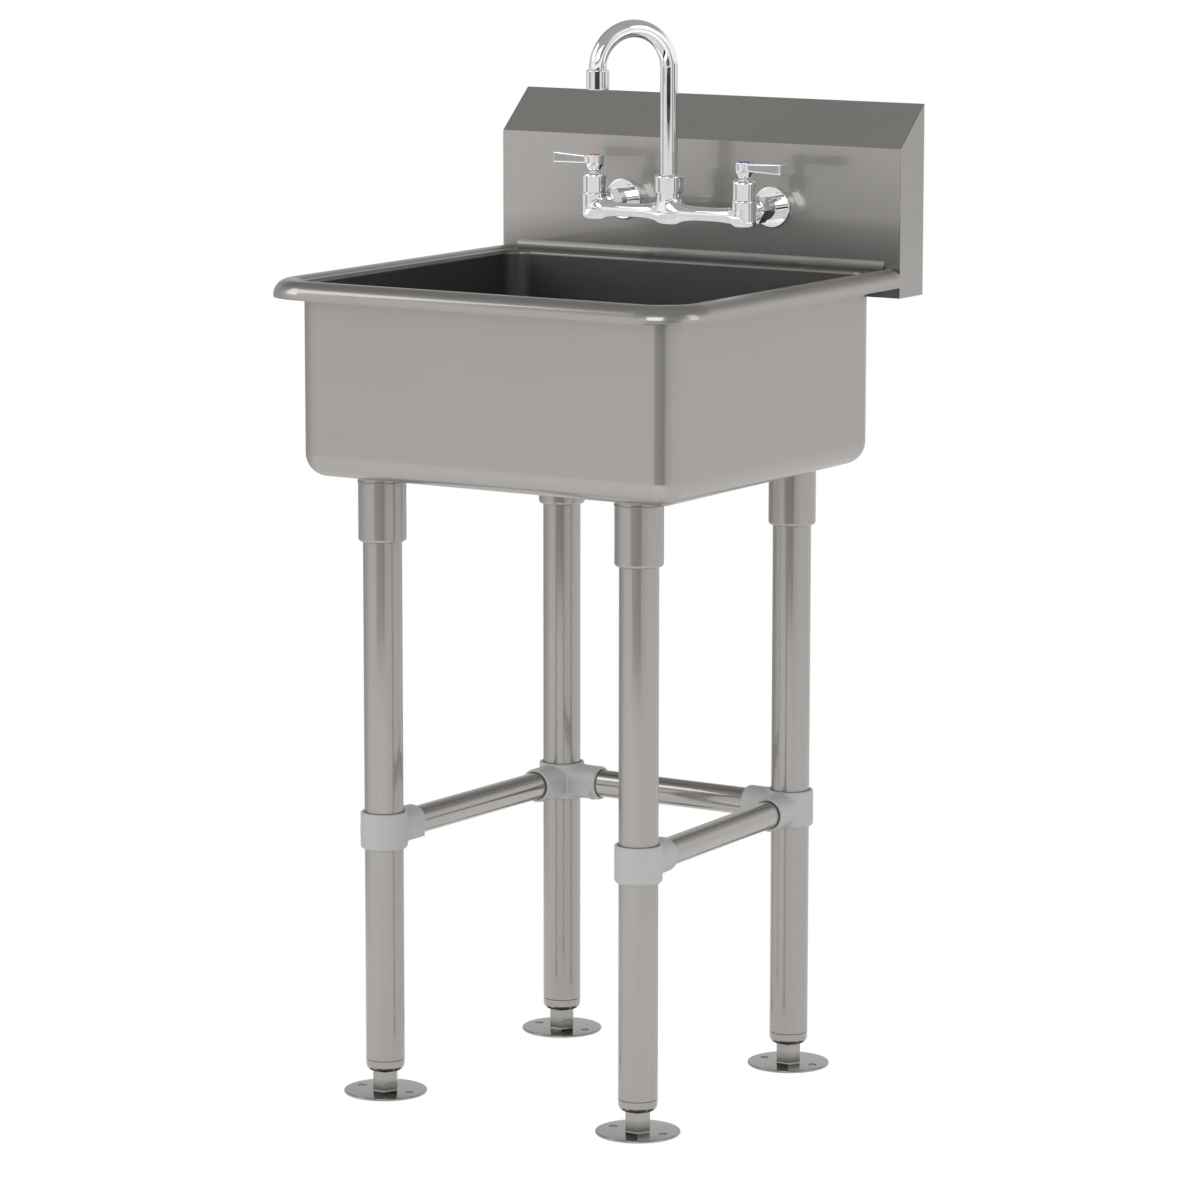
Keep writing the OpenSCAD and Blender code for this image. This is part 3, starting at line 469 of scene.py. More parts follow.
# the tap's body: valve housings, spout post, waisted arms and the inlets' stubs in one casting
tap = {
    "y": 146.85, "z": 931.0, "valveX": 94.0, "housingTop": 942.5, "housingLow": 914.5, "housingR": 13.5,
    "armZ": 925.5, "armR": 7.5, "armFlare": 3.0, "postFlare": 4.5, "postTop": 959.0, "postR": 13.5,
    "stubR": 10.0, "stubLength": 22.0, "lip": 1.2, "lipLength": 3.5, "housingEdge": 5.5, "postEdge": 6.0,
    "topEdge": 0.9, "stubEdge": 0.4, "lipEdge": 0.5, "armBlend": 7.0, "housingBlend": 5.0, "stubBlend": 2.5,
    "valveBore": 8.9, "valveFloor": 924.5, "spoutBore": 9.63, "spoutFloor": 933.0,
    "shoulderBore": 10.93, "shoulderFloor": 954.0, "waterBore": 6.5, "stubStart": -4.0, "spare": 6.0,
    "front": 15.0, "step": 0.7,
}


def tapField(x, y, z):
    t = tap
    side, back = np.abs(x), y - t["y"]

    def stump(x, r, top, edge):
        # round below, and cut square at the top
        bar = rod(np.hypot(side - x, back), z, r, t["housingLow"], top + t["spare"], edge)
        return both(bar, z - top, t["topEdge"])

    housing = stump(t["valveX"], t["housingR"], t["housingTop"], t["housingEdge"])
    post = stump(0, t["postR"], t["postTop"], t["postEdge"])
    part = np.clip(side / t["valveX"], 0, 1)
    flare = np.where(part < 0.5, t["postFlare"], t["armFlare"]) * np.cos(np.pi * part) ** 4
    arm = np.maximum(np.hypot(back, z - t["armZ"]) - (t["armR"] + flare), side - t["valveX"])
    stubRadial, end = np.hypot(side - t["valveX"], z - t["z"]), t["stubLength"]
    stub = rod(stubRadial, back, t["stubR"], t["stubStart"], end, t["stubEdge"])
    lip = rod(stubRadial, back, t["stubR"] + t["lip"], end - t["lipLength"], end, t["lipEdge"])
    shape = join(join(join(post, arm, t["armBlend"]), housing, t["housingBlend"]), stub, t["stubBlend"])
    return np.minimum(shape, lip)


def tapBores(shape, x, y, z):
    t = tap
    side, back = np.abs(x), y - t["y"]
    valve = np.maximum(np.hypot(side - t["valveX"], back) - t["valveBore"], t["valveFloor"] - z)
    spout = np.maximum(np.hypot(side, back) - t["spoutBore"], t["spoutFloor"] - z)
    shoulder = np.maximum(np.hypot(side, back) - t["shoulderBore"], t["shoulderFloor"] - z)
    water = np.maximum(np.hypot(side - t["valveX"], z - t["z"]) - t["waterBore"], -back)
    for bore in (valve, spout, shoulder, water):
        shape = np.maximum(shape, -bore)
    return shape


def makeTapBody():
    t = tap
    low = (-t["valveX"] - t["housingR"] - 1, t["y"] - t["front"], t["housingLow"] - 1)
    high = (t["valveX"] + t["housingR"] + 1, t["y"] + t["stubLength"] + 1, t["postTop"] + 1)
    skin = growSkin(lambda x, y, z: tapBores(tapField(x, y, z), x, y, z), low, high, t["step"])
    newPiece("tapCasting", [skin], "frame", "chrome", ["tap_body"], sharp=50)
    return len(skin[1])


print("tap body grown:", makeTapBody(), "faces")

# the levers: a hub with a tapered foot, and a blunt blade that grows towards its tip
lever = {
    "hubZ": 966.5, "hubR": 10.0, "hubHeight": 17.0, "footR": 7.0, "taper": 6.0, "length": 55.0,
    "tipWidth": 14.0, "tipHeight": 11.5, "rootHeight": 8.0, "drop": 1.5, "rise": 0.5, "turn": 10.0,
    "hubEdge": 0.9, "footEdge": 0.8, "bladeEdge": 1.3, "blend": 2.0, "stemR": 4.6, "stemTop": 12.6,
    "screwR": 2.2, "wellR": 4.0, "wellFloor": 13.5, "indexR": 6.3, "indexFloor": 15.8, "hubStart": -4.0,
    "rootShare": 0.4, "growShare": 0.1, "seatEdge": 0.15, "step": 0.42,
}


def leverField(x, y, z):
    v = lever
    radial = np.hypot(x, y)
    hub = rod(radial, z, v["hubR"], v["hubStart"], v["hubHeight"], v["hubEdge"])
    cone = v["hubR"] - v["footR"]
    slant = (radial - v["footR"] - z * cone / v["taper"]) / math.hypot(1, cone / v["taper"])
    hub = both(both(hub, slant, v["footEdge"]), -z)
    middle = v["hubHeight"] - v["drop"] - v["rootHeight"] / 2 + x * math.tan(math.radians(v["rise"]))
    tall = (v["rootHeight"] + (v["tipHeight"] - v["rootHeight"]) * x / v["length"]) / 2
    wide = v["tipWidth"] * (v["rootShare"] + v["growShare"] * x / v["length"])
    blade = both(np.abs(z - middle) - tall, np.abs(y) - wide, v["bladeEdge"])
    blade = both(blade, np.maximum(x - v["length"], -x), v["bladeEdge"])
    shape = join(hub, blade, v["blend"])
    # the stem's socket, the screw's hole and its head's well, and the seat of the index button
    shape = np.maximum(shape, -np.maximum(radial - v["stemR"], z - v["stemTop"]))
    shape = np.maximum(shape, -(radial - v["screwR"]))
    shape = np.maximum(shape, -np.maximum(radial - v["wellR"], v["wellFloor"] - z))
    return cut(shape, np.maximum(radial - v["indexR"], v["indexFloor"] - z), v["seatEdge"])


def makeLevers():
    v = lever
    low, high = (-v["hubR"], -v["hubR"], 0), (v["length"], v["hubR"], v["hubHeight"] + 1.5)
    skin = growSkin(leverField, low, high, v["step"])
    for side, turn in (("left", 180 - v["turn"]), ("right", -v["turn"])):
        at = ((-1 if side == "left" else 1) * tap["valveX"], tap["y"], v["hubZ"])
        part = moved(skin, at, Matrix.Rotation(math.radians(turn), 3, "Z"))
        newPiece("leverBlade_" + side, [part], "lever_" + side, "chrome", ["lever_" + side], sharp=45)
    return len(skin[1])


print("levers grown:", makeLevers(), "faces each")

# the gooseneck, bent from one tube, with the shoulder that its swivel nut holds
neck = {
    "r": 9.55, "bore": 7.95, "bend": 42.5, "foot": 934.0, "spring": 1081.0, "drop": 10.0, "turn": 32.0,
    "shoulderR": 10.85, "shoulderLow": 954.2, "shoulderLength": 3.0, "overlap": 0.3, "around": 64,
    "straights": 12, "bends": 72,
}


def makeSpout():
    n = neck
    path = [(0.0, n["foot"] + (n["spring"] - n["foot"]) * i / n["straights"], 0.0)
            for i in range(n["straights"])]
    path += [(n["bend"] - n["bend"] * math.cos(math.pi * i / n["bends"]),
              n["spring"] + n["bend"] * math.sin(math.pi * i / n["bends"]), math.pi * i / n["bends"])
             for i in range(n["bends"] + 1)]
    path.append((2 * n["bend"], n["spring"] - n["drop"], math.pi))
    stations = [(p, n["r"]) for p in path] + [(p, n["bore"]) for p in reversed(path)]
    points = []
    for (out, up, turn), r in stations:
        for i in range(n["around"]):
            a = 2 * math.pi * i / n["around"]
            # the tube lies in the plane of -Y and Z; turn is how far it has bent over
            away = r * math.cos(a)
            points.append((r * math.sin(a), -(out - away * math.cos(turn)), up + away * math.sin(turn)))
    count, faces = len(stations), []
    for k in range(count):
        a, b = k * n["around"], (k + 1) % count * n["around"]
        for i in range(n["around"]):
            j = (i + 1) % n["around"]
            faces.append((a + i, b + i, b + j, a + j))
    low, inner, outer = n["shoulderLow"], n["r"] - n["overlap"], n["shoulderR"]
    high = low + n["shoulderLength"]
    ring = lathe([(inner, low), (outer, low), (outer, high), (inner, high)])
    turn = Matrix.Rotation(math.radians(-n["turn"]), 3, "Z")
    parts = [moved(part, (0, tap["y"], 0), turn) for part in ((points, faces), ring)]
    newPiece("spoutTube", parts, "spout_arm", "chrome", ["spout"])


makeSpout()
print("spout bent")

# nuts of the tap's two inlets
inletNut = {
    "flats": 28.0, "length": 17.0, "y": 162.85, "webBore": 10.2, "bore": 12.05, "web": 2.3, "overlap": 0.3,
}


def makeCouplings():
    n = inletNut
    shell = hexNut(n["flats"], n["length"], n["bore"])
    rim = n["bore"] + n["overlap"]
    web = lathe([(n["webBore"], 0.0), (rim, 0.0), (rim, n["web"]), (n["webBore"], n["web"])])
    back = Matrix.Rotation(math.radians(-90), 3, "X")
    for side, x in (("left", -tap["valveX"]), ("right", tap["valveX"])):
        parts = [moved(part, (x, n["y"], tap["z"]), back) for part in (shell, web)]
        newPiece("inletNut_" + side, parts, "frame", "chrome", ["coupling_nut_" + side], sharp=25)


makeCouplings()
print("inlet nuts made")

# cast collars and branches that tie the rails to the legs
casting = {
    "z": 286.0, "frontX": 158.5, "frontY": -169.85, "rearX": 146.5, "rearY": 163.15, "collarR": 25.0,
    "half": 20.0, "branchR": 18.5, "reach": 53.0, "flare": 2.0, "padWidth": 19.1, "padLength": 47.0,
    "padLow": -13.4, "padTop": 0.6, "legBore": 20.8875, "railBore": 15.2, "stop": 29.0,
    "branchEdge": 3.0, "coneLength": 33.0, "rootLength": 34.0, "padEdge": 1.2, "padBlend": 1.2,
    "lowEdge": 4.0, "topEdge": 2.0, "blend": 2.2, "boreEdge": 0.8, "boreRim": 1.0, "screwR": 3.1,
    "screwInset": 12.0, "screwDrop": 12.0, "screwTurn": -50.0, "spare": 8.0, "margin": 2.0, "step": 0.75,
}
casting["yaw"] = math.degrees(math.atan(
    (casting["frontX"] - casting["rearX"]) / (casting["rearY"] - casting["frontY"])))


def castingField(branches):
    c = casting

    def branchField(x, y, z, yaw, side):
        a = math.radians(yaw)
        along, across = -x * math.sin(a) + y * math.cos(a), x * math.cos(a) + y * math.sin(a)
        around = np.hypot(across, z)
        bar = rod(around, along, c["branchR"], -c["branchR"], c["reach"], c["branchEdge"])
        cone = around - (c["branchR"] + c["flare"] * (1 - np.clip(along / c["coneLength"], 0, 1)))
        root = np.maximum(cone, np.maximum(-along, along - c["rootLength"]))
        inner = -across * side
        pad = np.maximum(np.abs(inner - c["padWidth"] / 2) - c["padWidth"] / 2,
                         np.abs(along - c["padLength"] / 2) - c["padLength"] / 2)
        middle, half = (c["padTop"] + c["padLow"]) / 2, (c["padTop"] - c["padLow"]) / 2
        pad = both(pad, np.abs(z - middle) - half, c["padEdge"])
        rim = np.maximum(along - c["reach"] + c["boreRim"], 0)
        bore = np.maximum(around - c["railBore"] - rim, c["stop"] - along)
        screw = np.maximum(np.hypot(across, along - (c["reach"] - c["screwInset"])) - c["screwR"], z)
        return join(np.minimum(bar, root), pad, c["padBlend"]), bore, screw

    def field(x, y, z):
        radial = np.hypot(x, y)
        half, spare = c["half"], c["spare"]
        shape = np.maximum(rod(radial, z, c["collarR"], -half, half + spare, c["lowEdge"]),
                           rod(radial, z, c["collarR"], -half - spare, half, c["topEdge"]))
        arms = [branchField(x, y, z, yaw, side) for yaw, side in branches]
        for arm, _, _ in arms:
            shape = join(shape, arm, c["blend"])
        rim = np.maximum(np.abs(z) - half + c["boreRim"], 0)
        shape = cut(shape, radial - c["legBore"] - rim, c["boreEdge"])
        for _, bore, screw in arms:
            shape = np.maximum(cut(shape, bore, c["boreEdge"]), -screw)
        a = math.radians(c["screwTurn"])
        outward, beside = -x * math.sin(a) + y * math.cos(a), x * math.cos(a) + y * math.sin(a)
        screw = np.maximum(np.hypot(beside, z + c["screwDrop"]) - c["screwR"], -outward)
        return np.maximum(shape, -screw)

    return field


def makeCastings():
    c, faces = casting, 0
    near, far = c["collarR"] + c["margin"], c["reach"] + 1
    kinds = (
        ("tee_front", (c["frontX"], c["frontY"]), [(c["yaw"], 1)], (-near, -near), (near, far)),
        ("corner_rear", (c["rearX"], c["rearY"]), [(180 + c["yaw"], -1), (90, 1)],
         (-far, -far), (near, near)),
    )
    for name, spot, branches, low, top in kinds:
        skin = growSkin(castingField(branches), (*low, -c["half"]), (*top, c["half"]), c["step"])
        faces += 2 * len(skin[1])
        right = moved(skin, (*spot, c["z"]))
        for side, part in (("right", right), ("left", mirrored(right))):
            node = name + "_" + side
            newPiece("casting_" + node, [part], "frame", "cast_grey", [node], sharp=45)
    return faces


print("castings grown:", makeCastings(), "faces")


def newTree(name, sockets):
    # a geometry tree and the wires of its inputs by name; endTree closes it
    tree = bpy.data.node_groups.new(name, "GeometryNodeTree")
    for title, kind in sockets:
        tree.interface.new_socket(title, in_out="INPUT", socket_type="NodeSocket" + kind)
    tree.interface.new_socket("Geometry", in_out="OUTPUT", socket_type="NodeSocketGeometry")
    source = tree.nodes.new("NodeGroupInput")
    return tree, {socket.name: Wire(tree, socket) for socket in source.outputs if socket.name}


def endTree(tree, shape, finish):
    plain = grow(tree, "GeometryNodeRealizeInstances", values={0: shape})
    done = grow(tree, "GeometryNodeSetMaterial", values={0: plain, "Material": finish})
    tree.links.new(done.socket, tree.nodes.new("NodeGroupOutput").inputs[0])
    return tree


def fromTree(tree, values, points=(), edges=()):
    # runs a geometry tree on a wire path and gives its points and faces back in millimetres
    mesh = bpy.data.meshes.new("path")
    mesh.from_pydata([tuple(c * 0.001 for c in p) for p in points], list(edges), [])
    holder = bpy.data.objects.new("path", mesh)
    bpy.context.scene.collection.objects.link(holder)
    modifier = holder.modifiers.new("tree", "NODES")
    modifier.node_group = tree
    for item in tree.interface.items_tree:
        if item.in_out == "INPUT" and item.name in values:
            modifier[item.identifier] = values[item.name]
    shape = bpy.data.meshes.new_from_object(holder.evaluated_get(bpy.context.evaluated_depsgraph_get()))
    holder.modifiers.clear()
    part = ([tuple(c * 1000 for c in v.co) for v in shape.vertices],
            [tuple(f.vertices) for f in shape.polygons])
    bpy.data.objects.remove(holder)
    return part


def threadTree():
    # winds a ridge round a rod, for every thread
    tree, given = newTree("threadRidge", (
        ("Radius", "Float"), ("Pitch", "Float"), ("Length", "Float"), ("Depth", "Float"),
        ("Finish", "Material")))
    middle = given["Radius"] - given["Depth"]
    spiral = grow(tree, "GeometryNodeCurveSpiral", values={
        "Resolution": 40, "Rotations": given["Length"] / given["Pitch"], "Start Radius": middle,
        "End Radius": middle, "Height": given["Length"]})
    upright = grow(tree, "GeometryNodeSetCurveNormal", {"mode": "Z_UP"}, {0: spiral})
    ridge = grow(tree, "GeometryNodeCurvePrimitiveCircle", values={"Resolution": 4, "Radius": given["Depth"]})
    solid = grow(tree, "GeometryNodeCurveToMesh", values={0: upright, 1: ridge, "Fill Caps": True})
    return endTree(tree, solid, given["Finish"])


threads = threadTree()


def thread(radius, pitch, length, slot, depth=0.6):
    # sizes in millimetres; the ridge starts at Z = 0
    return fromTree(threads, {
        "Radius": radius / 1000, "Pitch": pitch / 1000, "Length": length / 1000, "Depth": depth / 1000,
        "Finish": finishes[slot]})


# the feet: a bored flange, a hexagon stem and the adjusting screw
foot = {
    "flangeR": 44.45, "flangeT": 2.5, "boltX": 30.15, "boltR": 4.35, "flats": 25.4, "stemTop": 23.9,
    "stemBore": 0.5, "flare": 0.5, "lean": 4.0, "screwR": 7.95, "coreR": 7.2, "screwTop": 83.9, "pitch": 2.3,
    "ridge": 0.7, "edge": 1.0, "dish": 1.5, "dishDepth": 0.5, "overshoot": 1.0, "bite": 0.02,
    "screwEdge": 1.2, "threadStart": 1.5, "threadStop": 2.5,
}
# the four legs, by the names that their parts end in
places = [(end + "_" + side, casting[end + "X"] * sign, casting[end + "Y"])
          for end in ("front", "rear") for side, sign in (("left", -1), ("right", 1))]


def boredDisc(name, profile, holes, drill):
    # turns a disc and bores it with the drill at each place
    objects = []
    drills = [(name + "Drill", moved(drill, (x, y, 0))) for x, y in holes]
    for title, part in [(name, lathe(profile, 128))] + drills:
        mesh = bpy.data.meshes.new(title)
        mesh.from_pydata([tuple(p) for p in np.asarray(part[0], float)], [], part[1])
        item = bpy.data.objects.new(title, mesh)
        bpy.context.scene.collection.objects.link(item)
        objects.append(item)
    for item in objects[1:]:
        bore = objects[0].modifiers.new("bore", "BOOLEAN")
        bore.operation, bore.solver, bore.object = "DIFFERENCE", "EXACT", item
    shape = bpy.data.meshes.new_from_object(objects[0].evaluated_get(bpy.context.evaluated_depsgraph_get()))
    part = [tuple(v.co) for v in shape.vertices], [tuple(f.vertices) for f in shape.polygons]
    for item in objects:
        bpy.data.objects.remove(item)
    return part


def makeFeet():
    f = foot
    r, t, edge = f["flangeR"], f["flangeT"], f["edge"]
    disc = [(0, 0), (r - edge / 2, 0), *rounded(r - edge, edge, edge, -60, 0, 4),
            *rounded(r - edge, t - edge, edge, 0, 90), (0, t)]
    past = f["overshoot"]
    drill = lathe([(0, -2 * past), (f["boltR"], -2 * past), (f["boltR"], t - f["dishDepth"]),
                   (f["boltR"] + f["dish"], t + past), (0, t + past)], 40)
    flange = boredDisc("flange", disc, [(-f["boltX"], 0), (f["boltX"], 0)], drill)
    stem = hexNut(f["flats"], f["stemTop"] - t, f["stemBore"], foot=f["flare"], lean=f["lean"])
    stem = moved(stem, (0, 0, t - f["bite"]))
    core = lathe([(0, t + past), (f["coreR"], t + past), (f["coreR"], f["screwTop"] - f["screwEdge"]),
                  (f["coreR"] - f["screwEdge"], f["screwTop"]), (0, f["screwTop"])], 64)
    threaded = f["screwTop"] - f["stemTop"] - (f["threadStart"] + f["threadStop"])
    ridge = thread(f["screwR"], f["pitch"], threaded, "steel_turned", f["ridge"])
    ridge = moved(ridge, (0, 0, f["stemTop"] + f["threadStart"]))
    for name, x, y in places:
        parts = [moved(part, (x, y, 0)) for part in (flange, stem, core, ridge)]
        newPiece("footFlange_" + name, parts, "foot_" + name, "steel_turned", ["foot_" + name], sharp=30)


makeFeet()
print("feet made")

# the caps at the ends of the legs, with a groove where they meet the tube
cap = {
    "low": 24.0, "height": 13.5, "r": 20.6375, "edge": 7.4, "bore": 8.03, "plugR": 18.8875, "plug": 34.0,
    "groove": 0.7, "grooveWidth": 1.1, "grooveFloor": 0.5, "plugEdge": 1.0,
}


def makeCaps():
    c = cap
    low, seam = c["low"], c["low"] + c["height"]
    neck, top = c["r"] - c["groove"], seam + c["plug"]
    outline = [(c["bore"], low), *rounded(c["r"] - c["edge"], low + c["edge"], c["edge"], -90, 0, 10),
               (c["r"], seam - c["grooveWidth"]), (neck, seam - c["grooveFloor"]), (neck, seam),
               (c["plugR"], seam), (c["plugR"], top - c["plugEdge"]), (c["plugR"] - c["plugEdge"], top),
               (c["bore"], top)]
    part = lathe(outline)
    for name, x, y in places:
        turned = moved(part, (x, y, 0))
        newPiece("legCap_" + name, [turned], "frame", "steel_turned", ["foot_plug_" + name], sharp=30)


makeCaps()
print("leg caps turned")

# welds that run round the tops of the sockets, where they meet the bowl's floor and its bent edge,
# and the smooth bead that stands a little lower round each socket
weld = {
    "r": 25.4, "floor": 665.0, "bend": 25.0, "bendY": 167.85, "bead": 1.7, "ripples": 60.0, "points": 120,
    "drop": 0.9, "ringZ": 659.5, "ring": 0.75, "rippleDepth": 0.1, "along": 480, "around": 10,
}


def beadTree():
    tree, given = newTree("weldBead", (
        ("Path", "Geometry"), ("Bead", "Float"), ("Ripples", "Float"), ("Finish", "Material")))
    curve = grow(tree, "GeometryNodeMeshToCurve", values={0: given["Path"]})
    dense = grow(tree, "GeometryNodeResampleCurve", values={0: curve, "Count": weld["along"]})
    along = grow(tree, "GeometryNodeSplineParameter")
    wave = (along * given["Ripples"] * (2 * math.pi)).math("SINE") * weld["rippleDepth"] + 1.0
    ring = grow(tree, "GeometryNodeCurvePrimitiveCircle", values={
        "Resolution": weld["around"], "Radius": given["Bead"]})
    tube = grow(tree, "GeometryNodeCurveToMesh", values={0: dense, 1: ring, "Scale": wave})
    return endTree(tree, tube, given["Finish"])


def makeWelds():
    w, tree = weld, beadTree()
    for name, x, y in places:
        seam, level = [], []
        for i in range(w["points"]):
            a = 2 * math.pi * i / w["points"]
            px, py = x + w["r"] * math.cos(a), y + w["r"] * math.sin(a)
            over = max(0.0, py - w["bendY"])
            rise = w["bend"] - math.sqrt(w["bend"] ** 2 - over ** 2)
            seam.append((px, py, w["floor"] + rise - w["drop"]))
            level.append((px, py, w["ringZ"]))
        edges = [(i, (i + 1) % w["points"]) for i in range(w["points"])]
        parts = []
        for path, size, ripples in ((seam, w["bead"], w["ripples"]), (level, w["ring"], 0.0)):
            values = {"Bead": size / 1000, "Ripples": ripples, "Finish": finishes["steel_tube"]}
            parts.append(fromTree(tree, values, path, edges))
        newPiece("weldBead_" + name, parts, "frame", "steel_tube", sharp=60)


makeWelds()
print("welds laid")

# the inlets' shanks behind the splash, with their threads
shank = {
    "start": 168.95, "headR": 11.9, "headLength": 9.9, "r": 11.0, "supplyR": 10.45, "supply": 27.0,
    "bore": 6.5, "end": 248.85, "pitch": 1.8, "ridge": 0.65, "core": 0.7, "headEdge": 0.5, "tipEdge": 1.0,
    "threadStart": 1.0, "bodyStop": 1.5, "supplyStop": 2.0,
}


def makeShanks():
    s = shank
    length = s["end"] - s["start"]
    mid = length - s["supply"]
    head, body, tail = s["headLength"], s["r"] - s["core"], s["supplyR"] - s["core"]
    outline = [(s["bore"], 0), (s["headR"], 0), (s["headR"], head - s["headEdge"]),
               (s["headR"] - s["headEdge"], head),
               (body, head), (body, mid), (tail, mid), (tail, length - s["tipEdge"]),
               (tail - s["tipEdge"], length), (s["bore"], length)]
    core = lathe(outline, 64)
    threaded = []
    for r, low, span, stop in ((s["r"], head, mid - head, s["bodyStop"]),
                               (s["supplyR"], mid, s["supply"], s["supplyStop"])):
        ridge = thread(r, s["pitch"], span - (s["threadStart"] + stop), "brass", s["ridge"])
        threaded.append(moved(ridge, (0, 0, low + s["threadStart"])))
    back = Matrix.Rotation(math.radians(-90), 3, "X")
    for side, x in (("left", -tap["valveX"]), ("right", tap["valveX"])):
        parts = [moved(part, (x, s["start"], tap["z"]), back) for part in (core, *threaded)]
        newPiece("inletShank_" + side, parts, "frame", "brass", ["shank_" + side], sharp=30)


makeShanks()
print("shanks threaded")

# the fine wire screen inside the aerator's mouth
screen = {"r": 8.3, "wires": 20, "wire": 0.35, "z": 1062.0}


def screenTree():
    tree, given = newTree("aeratorScreen", (
        ("Radius", "Float"), ("Wires", "Int"), ("Wire", "Float"), ("Finish", "Material")))
    size = given["Radius"] * 2
    grid = grow(tree, "GeometryNodeMeshGrid", values={
        "Size X": size, "Size Y": size, "Vertices X": given["Wires"], "Vertices Y": given["Wires"]})
    spot = grow(tree, "GeometryNodeInputPosition")
    away = grow(tree, "ShaderNodeVectorMath", {"operation": "LENGTH"}, {0: spot}, out=1)
    outside = grow(tree, "FunctionNodeCompare", {"operation": "GREATER_THAN"}, {0: away, 1: given["Radius"]})
    disc = grow(tree, "GeometryNodeDeleteGeometry", {"domain": "POINT"}, {0: grid, "Selection": outside})
    wires = grow(tree, "GeometryNodeMeshToCurve", values={0: disc})
    ring = grow(tree, "GeometryNodeCurvePrimitiveCircle", values={"Resolution": 4, "Radius": given["Wire"]})
    solid = grow(tree, "GeometryNodeCurveToMesh", values={0: wires, 1: ring, "Fill Caps": True})
    return endTree(tree, solid, given["Finish"])


def makeScreen():
    s = screen
    part = fromTree(screenTree(), {
        "Radius": s["r"] / 1000, "Wires": s["wires"], "Wire": s["wire"] / 2000,
        "Finish": finishes["steel_drain"]})
    a = math.radians(-neck["turn"])
    at = (2 * neck["bend"] * math.sin(a), tap["y"] - 2 * neck["bend"] * math.cos(a), s["z"])
    newPiece("aeratorScreen", [moved(part, at)], "spout_arm", "steel_drain")


makeScreen()
print("aerator screen set")

# a white floor and surroundings, with dim parts that show only in the gloss of the metal. Turns are in
# degrees from the front to the right, sides are cosines of the angle from such a turn, and reaches are in
# metres from the sink: the higher an upright face stands, the farther out it mirrors the floor, and the tap
# mirrors what lies past far
studio = {
    "floorSize": 80.0, "floorDrop": 0.0008, "floorColour": 0.80, "gloss": 0.42, "soft": 0.72,
    "ceiling": 0.39, "ceilingRise": (18.0, 32.0),
    "frontTurn": 32.0, "frontDark": 0.68, "frontSides": (0.72, 0.88),
    "frontLow": (0.05, 0.1), "frontHigh": (0.36, 0.5),
    "gapTurn": 18.0, "gapReach": (2.75, 3.1), "gapDark": 0.97, "gapLeft": (-0.43, -0.39),
    "gapRight": (0.40, 0.42), "gapSlope": 0.72, "gapRest": 0.28, "gapFade": (0.45, 0.9),
    "gapFront": (0.0, 0.2),
    "nearSides": (0.85, 0.93), "nearStart": (1.0, 1.4), "nearEnd": (2.5, 2.75), "nearGlow": 0.16,
    "backTurn": -112.0, "backSides": (0.45, 1.0), "backReach": (0.8, 1.6), "backDark": 0.46,
    "far": (9.2, 9.24), "farTone": 0.80, "wedgeTurn": 27.0, "wedgeStart": 12.4, "wedgeSpread": 0.30,
    "wedgeHalf": 27.0, "wedgeEdge": 0.06, "wedgeDark": 0.97, "streakEdge": 3,
    "streaks": ((-53, 9, 0.52), (80, 4, 0.75), (106, 8, 0.70), (-150, 40, 0.40)),
}
# the soft lamps, placed in degrees and metres from the bowl; glow is how bright chrome mirrors them
lampAim = (0, 0, 0.85)
lamps = {
    "keyLamp": {"azimuth": 18, "height": 24, "distance": 3.3, "size": (1.7, 1.2), "glow": 2.6},
    "leftLamp": {"azimuth": -55, "height": 30, "distance": 3.2, "size": (1.4, 1.6), "glow": 2.0},
    "rightLamp": {"azimuth": 95, "height": 25, "distance": 3.4, "size": (1.2, 1.6), "glow": 1.2},
}
tapCard = {"place": (-0.04, 0.02, 0.893), "size": (0.50, 0.30), "glow": 0.72}


def facing(x, y, degrees):
    a = math.radians(degrees)
    return x * math.sin(a) - y * math.cos(a)


def rays(tree):
    # 1 for the camera's, mirrored and refracted rays
    return (grow(tree, "ShaderNodeLightPath", out=out) for out in (0, 3, 6))


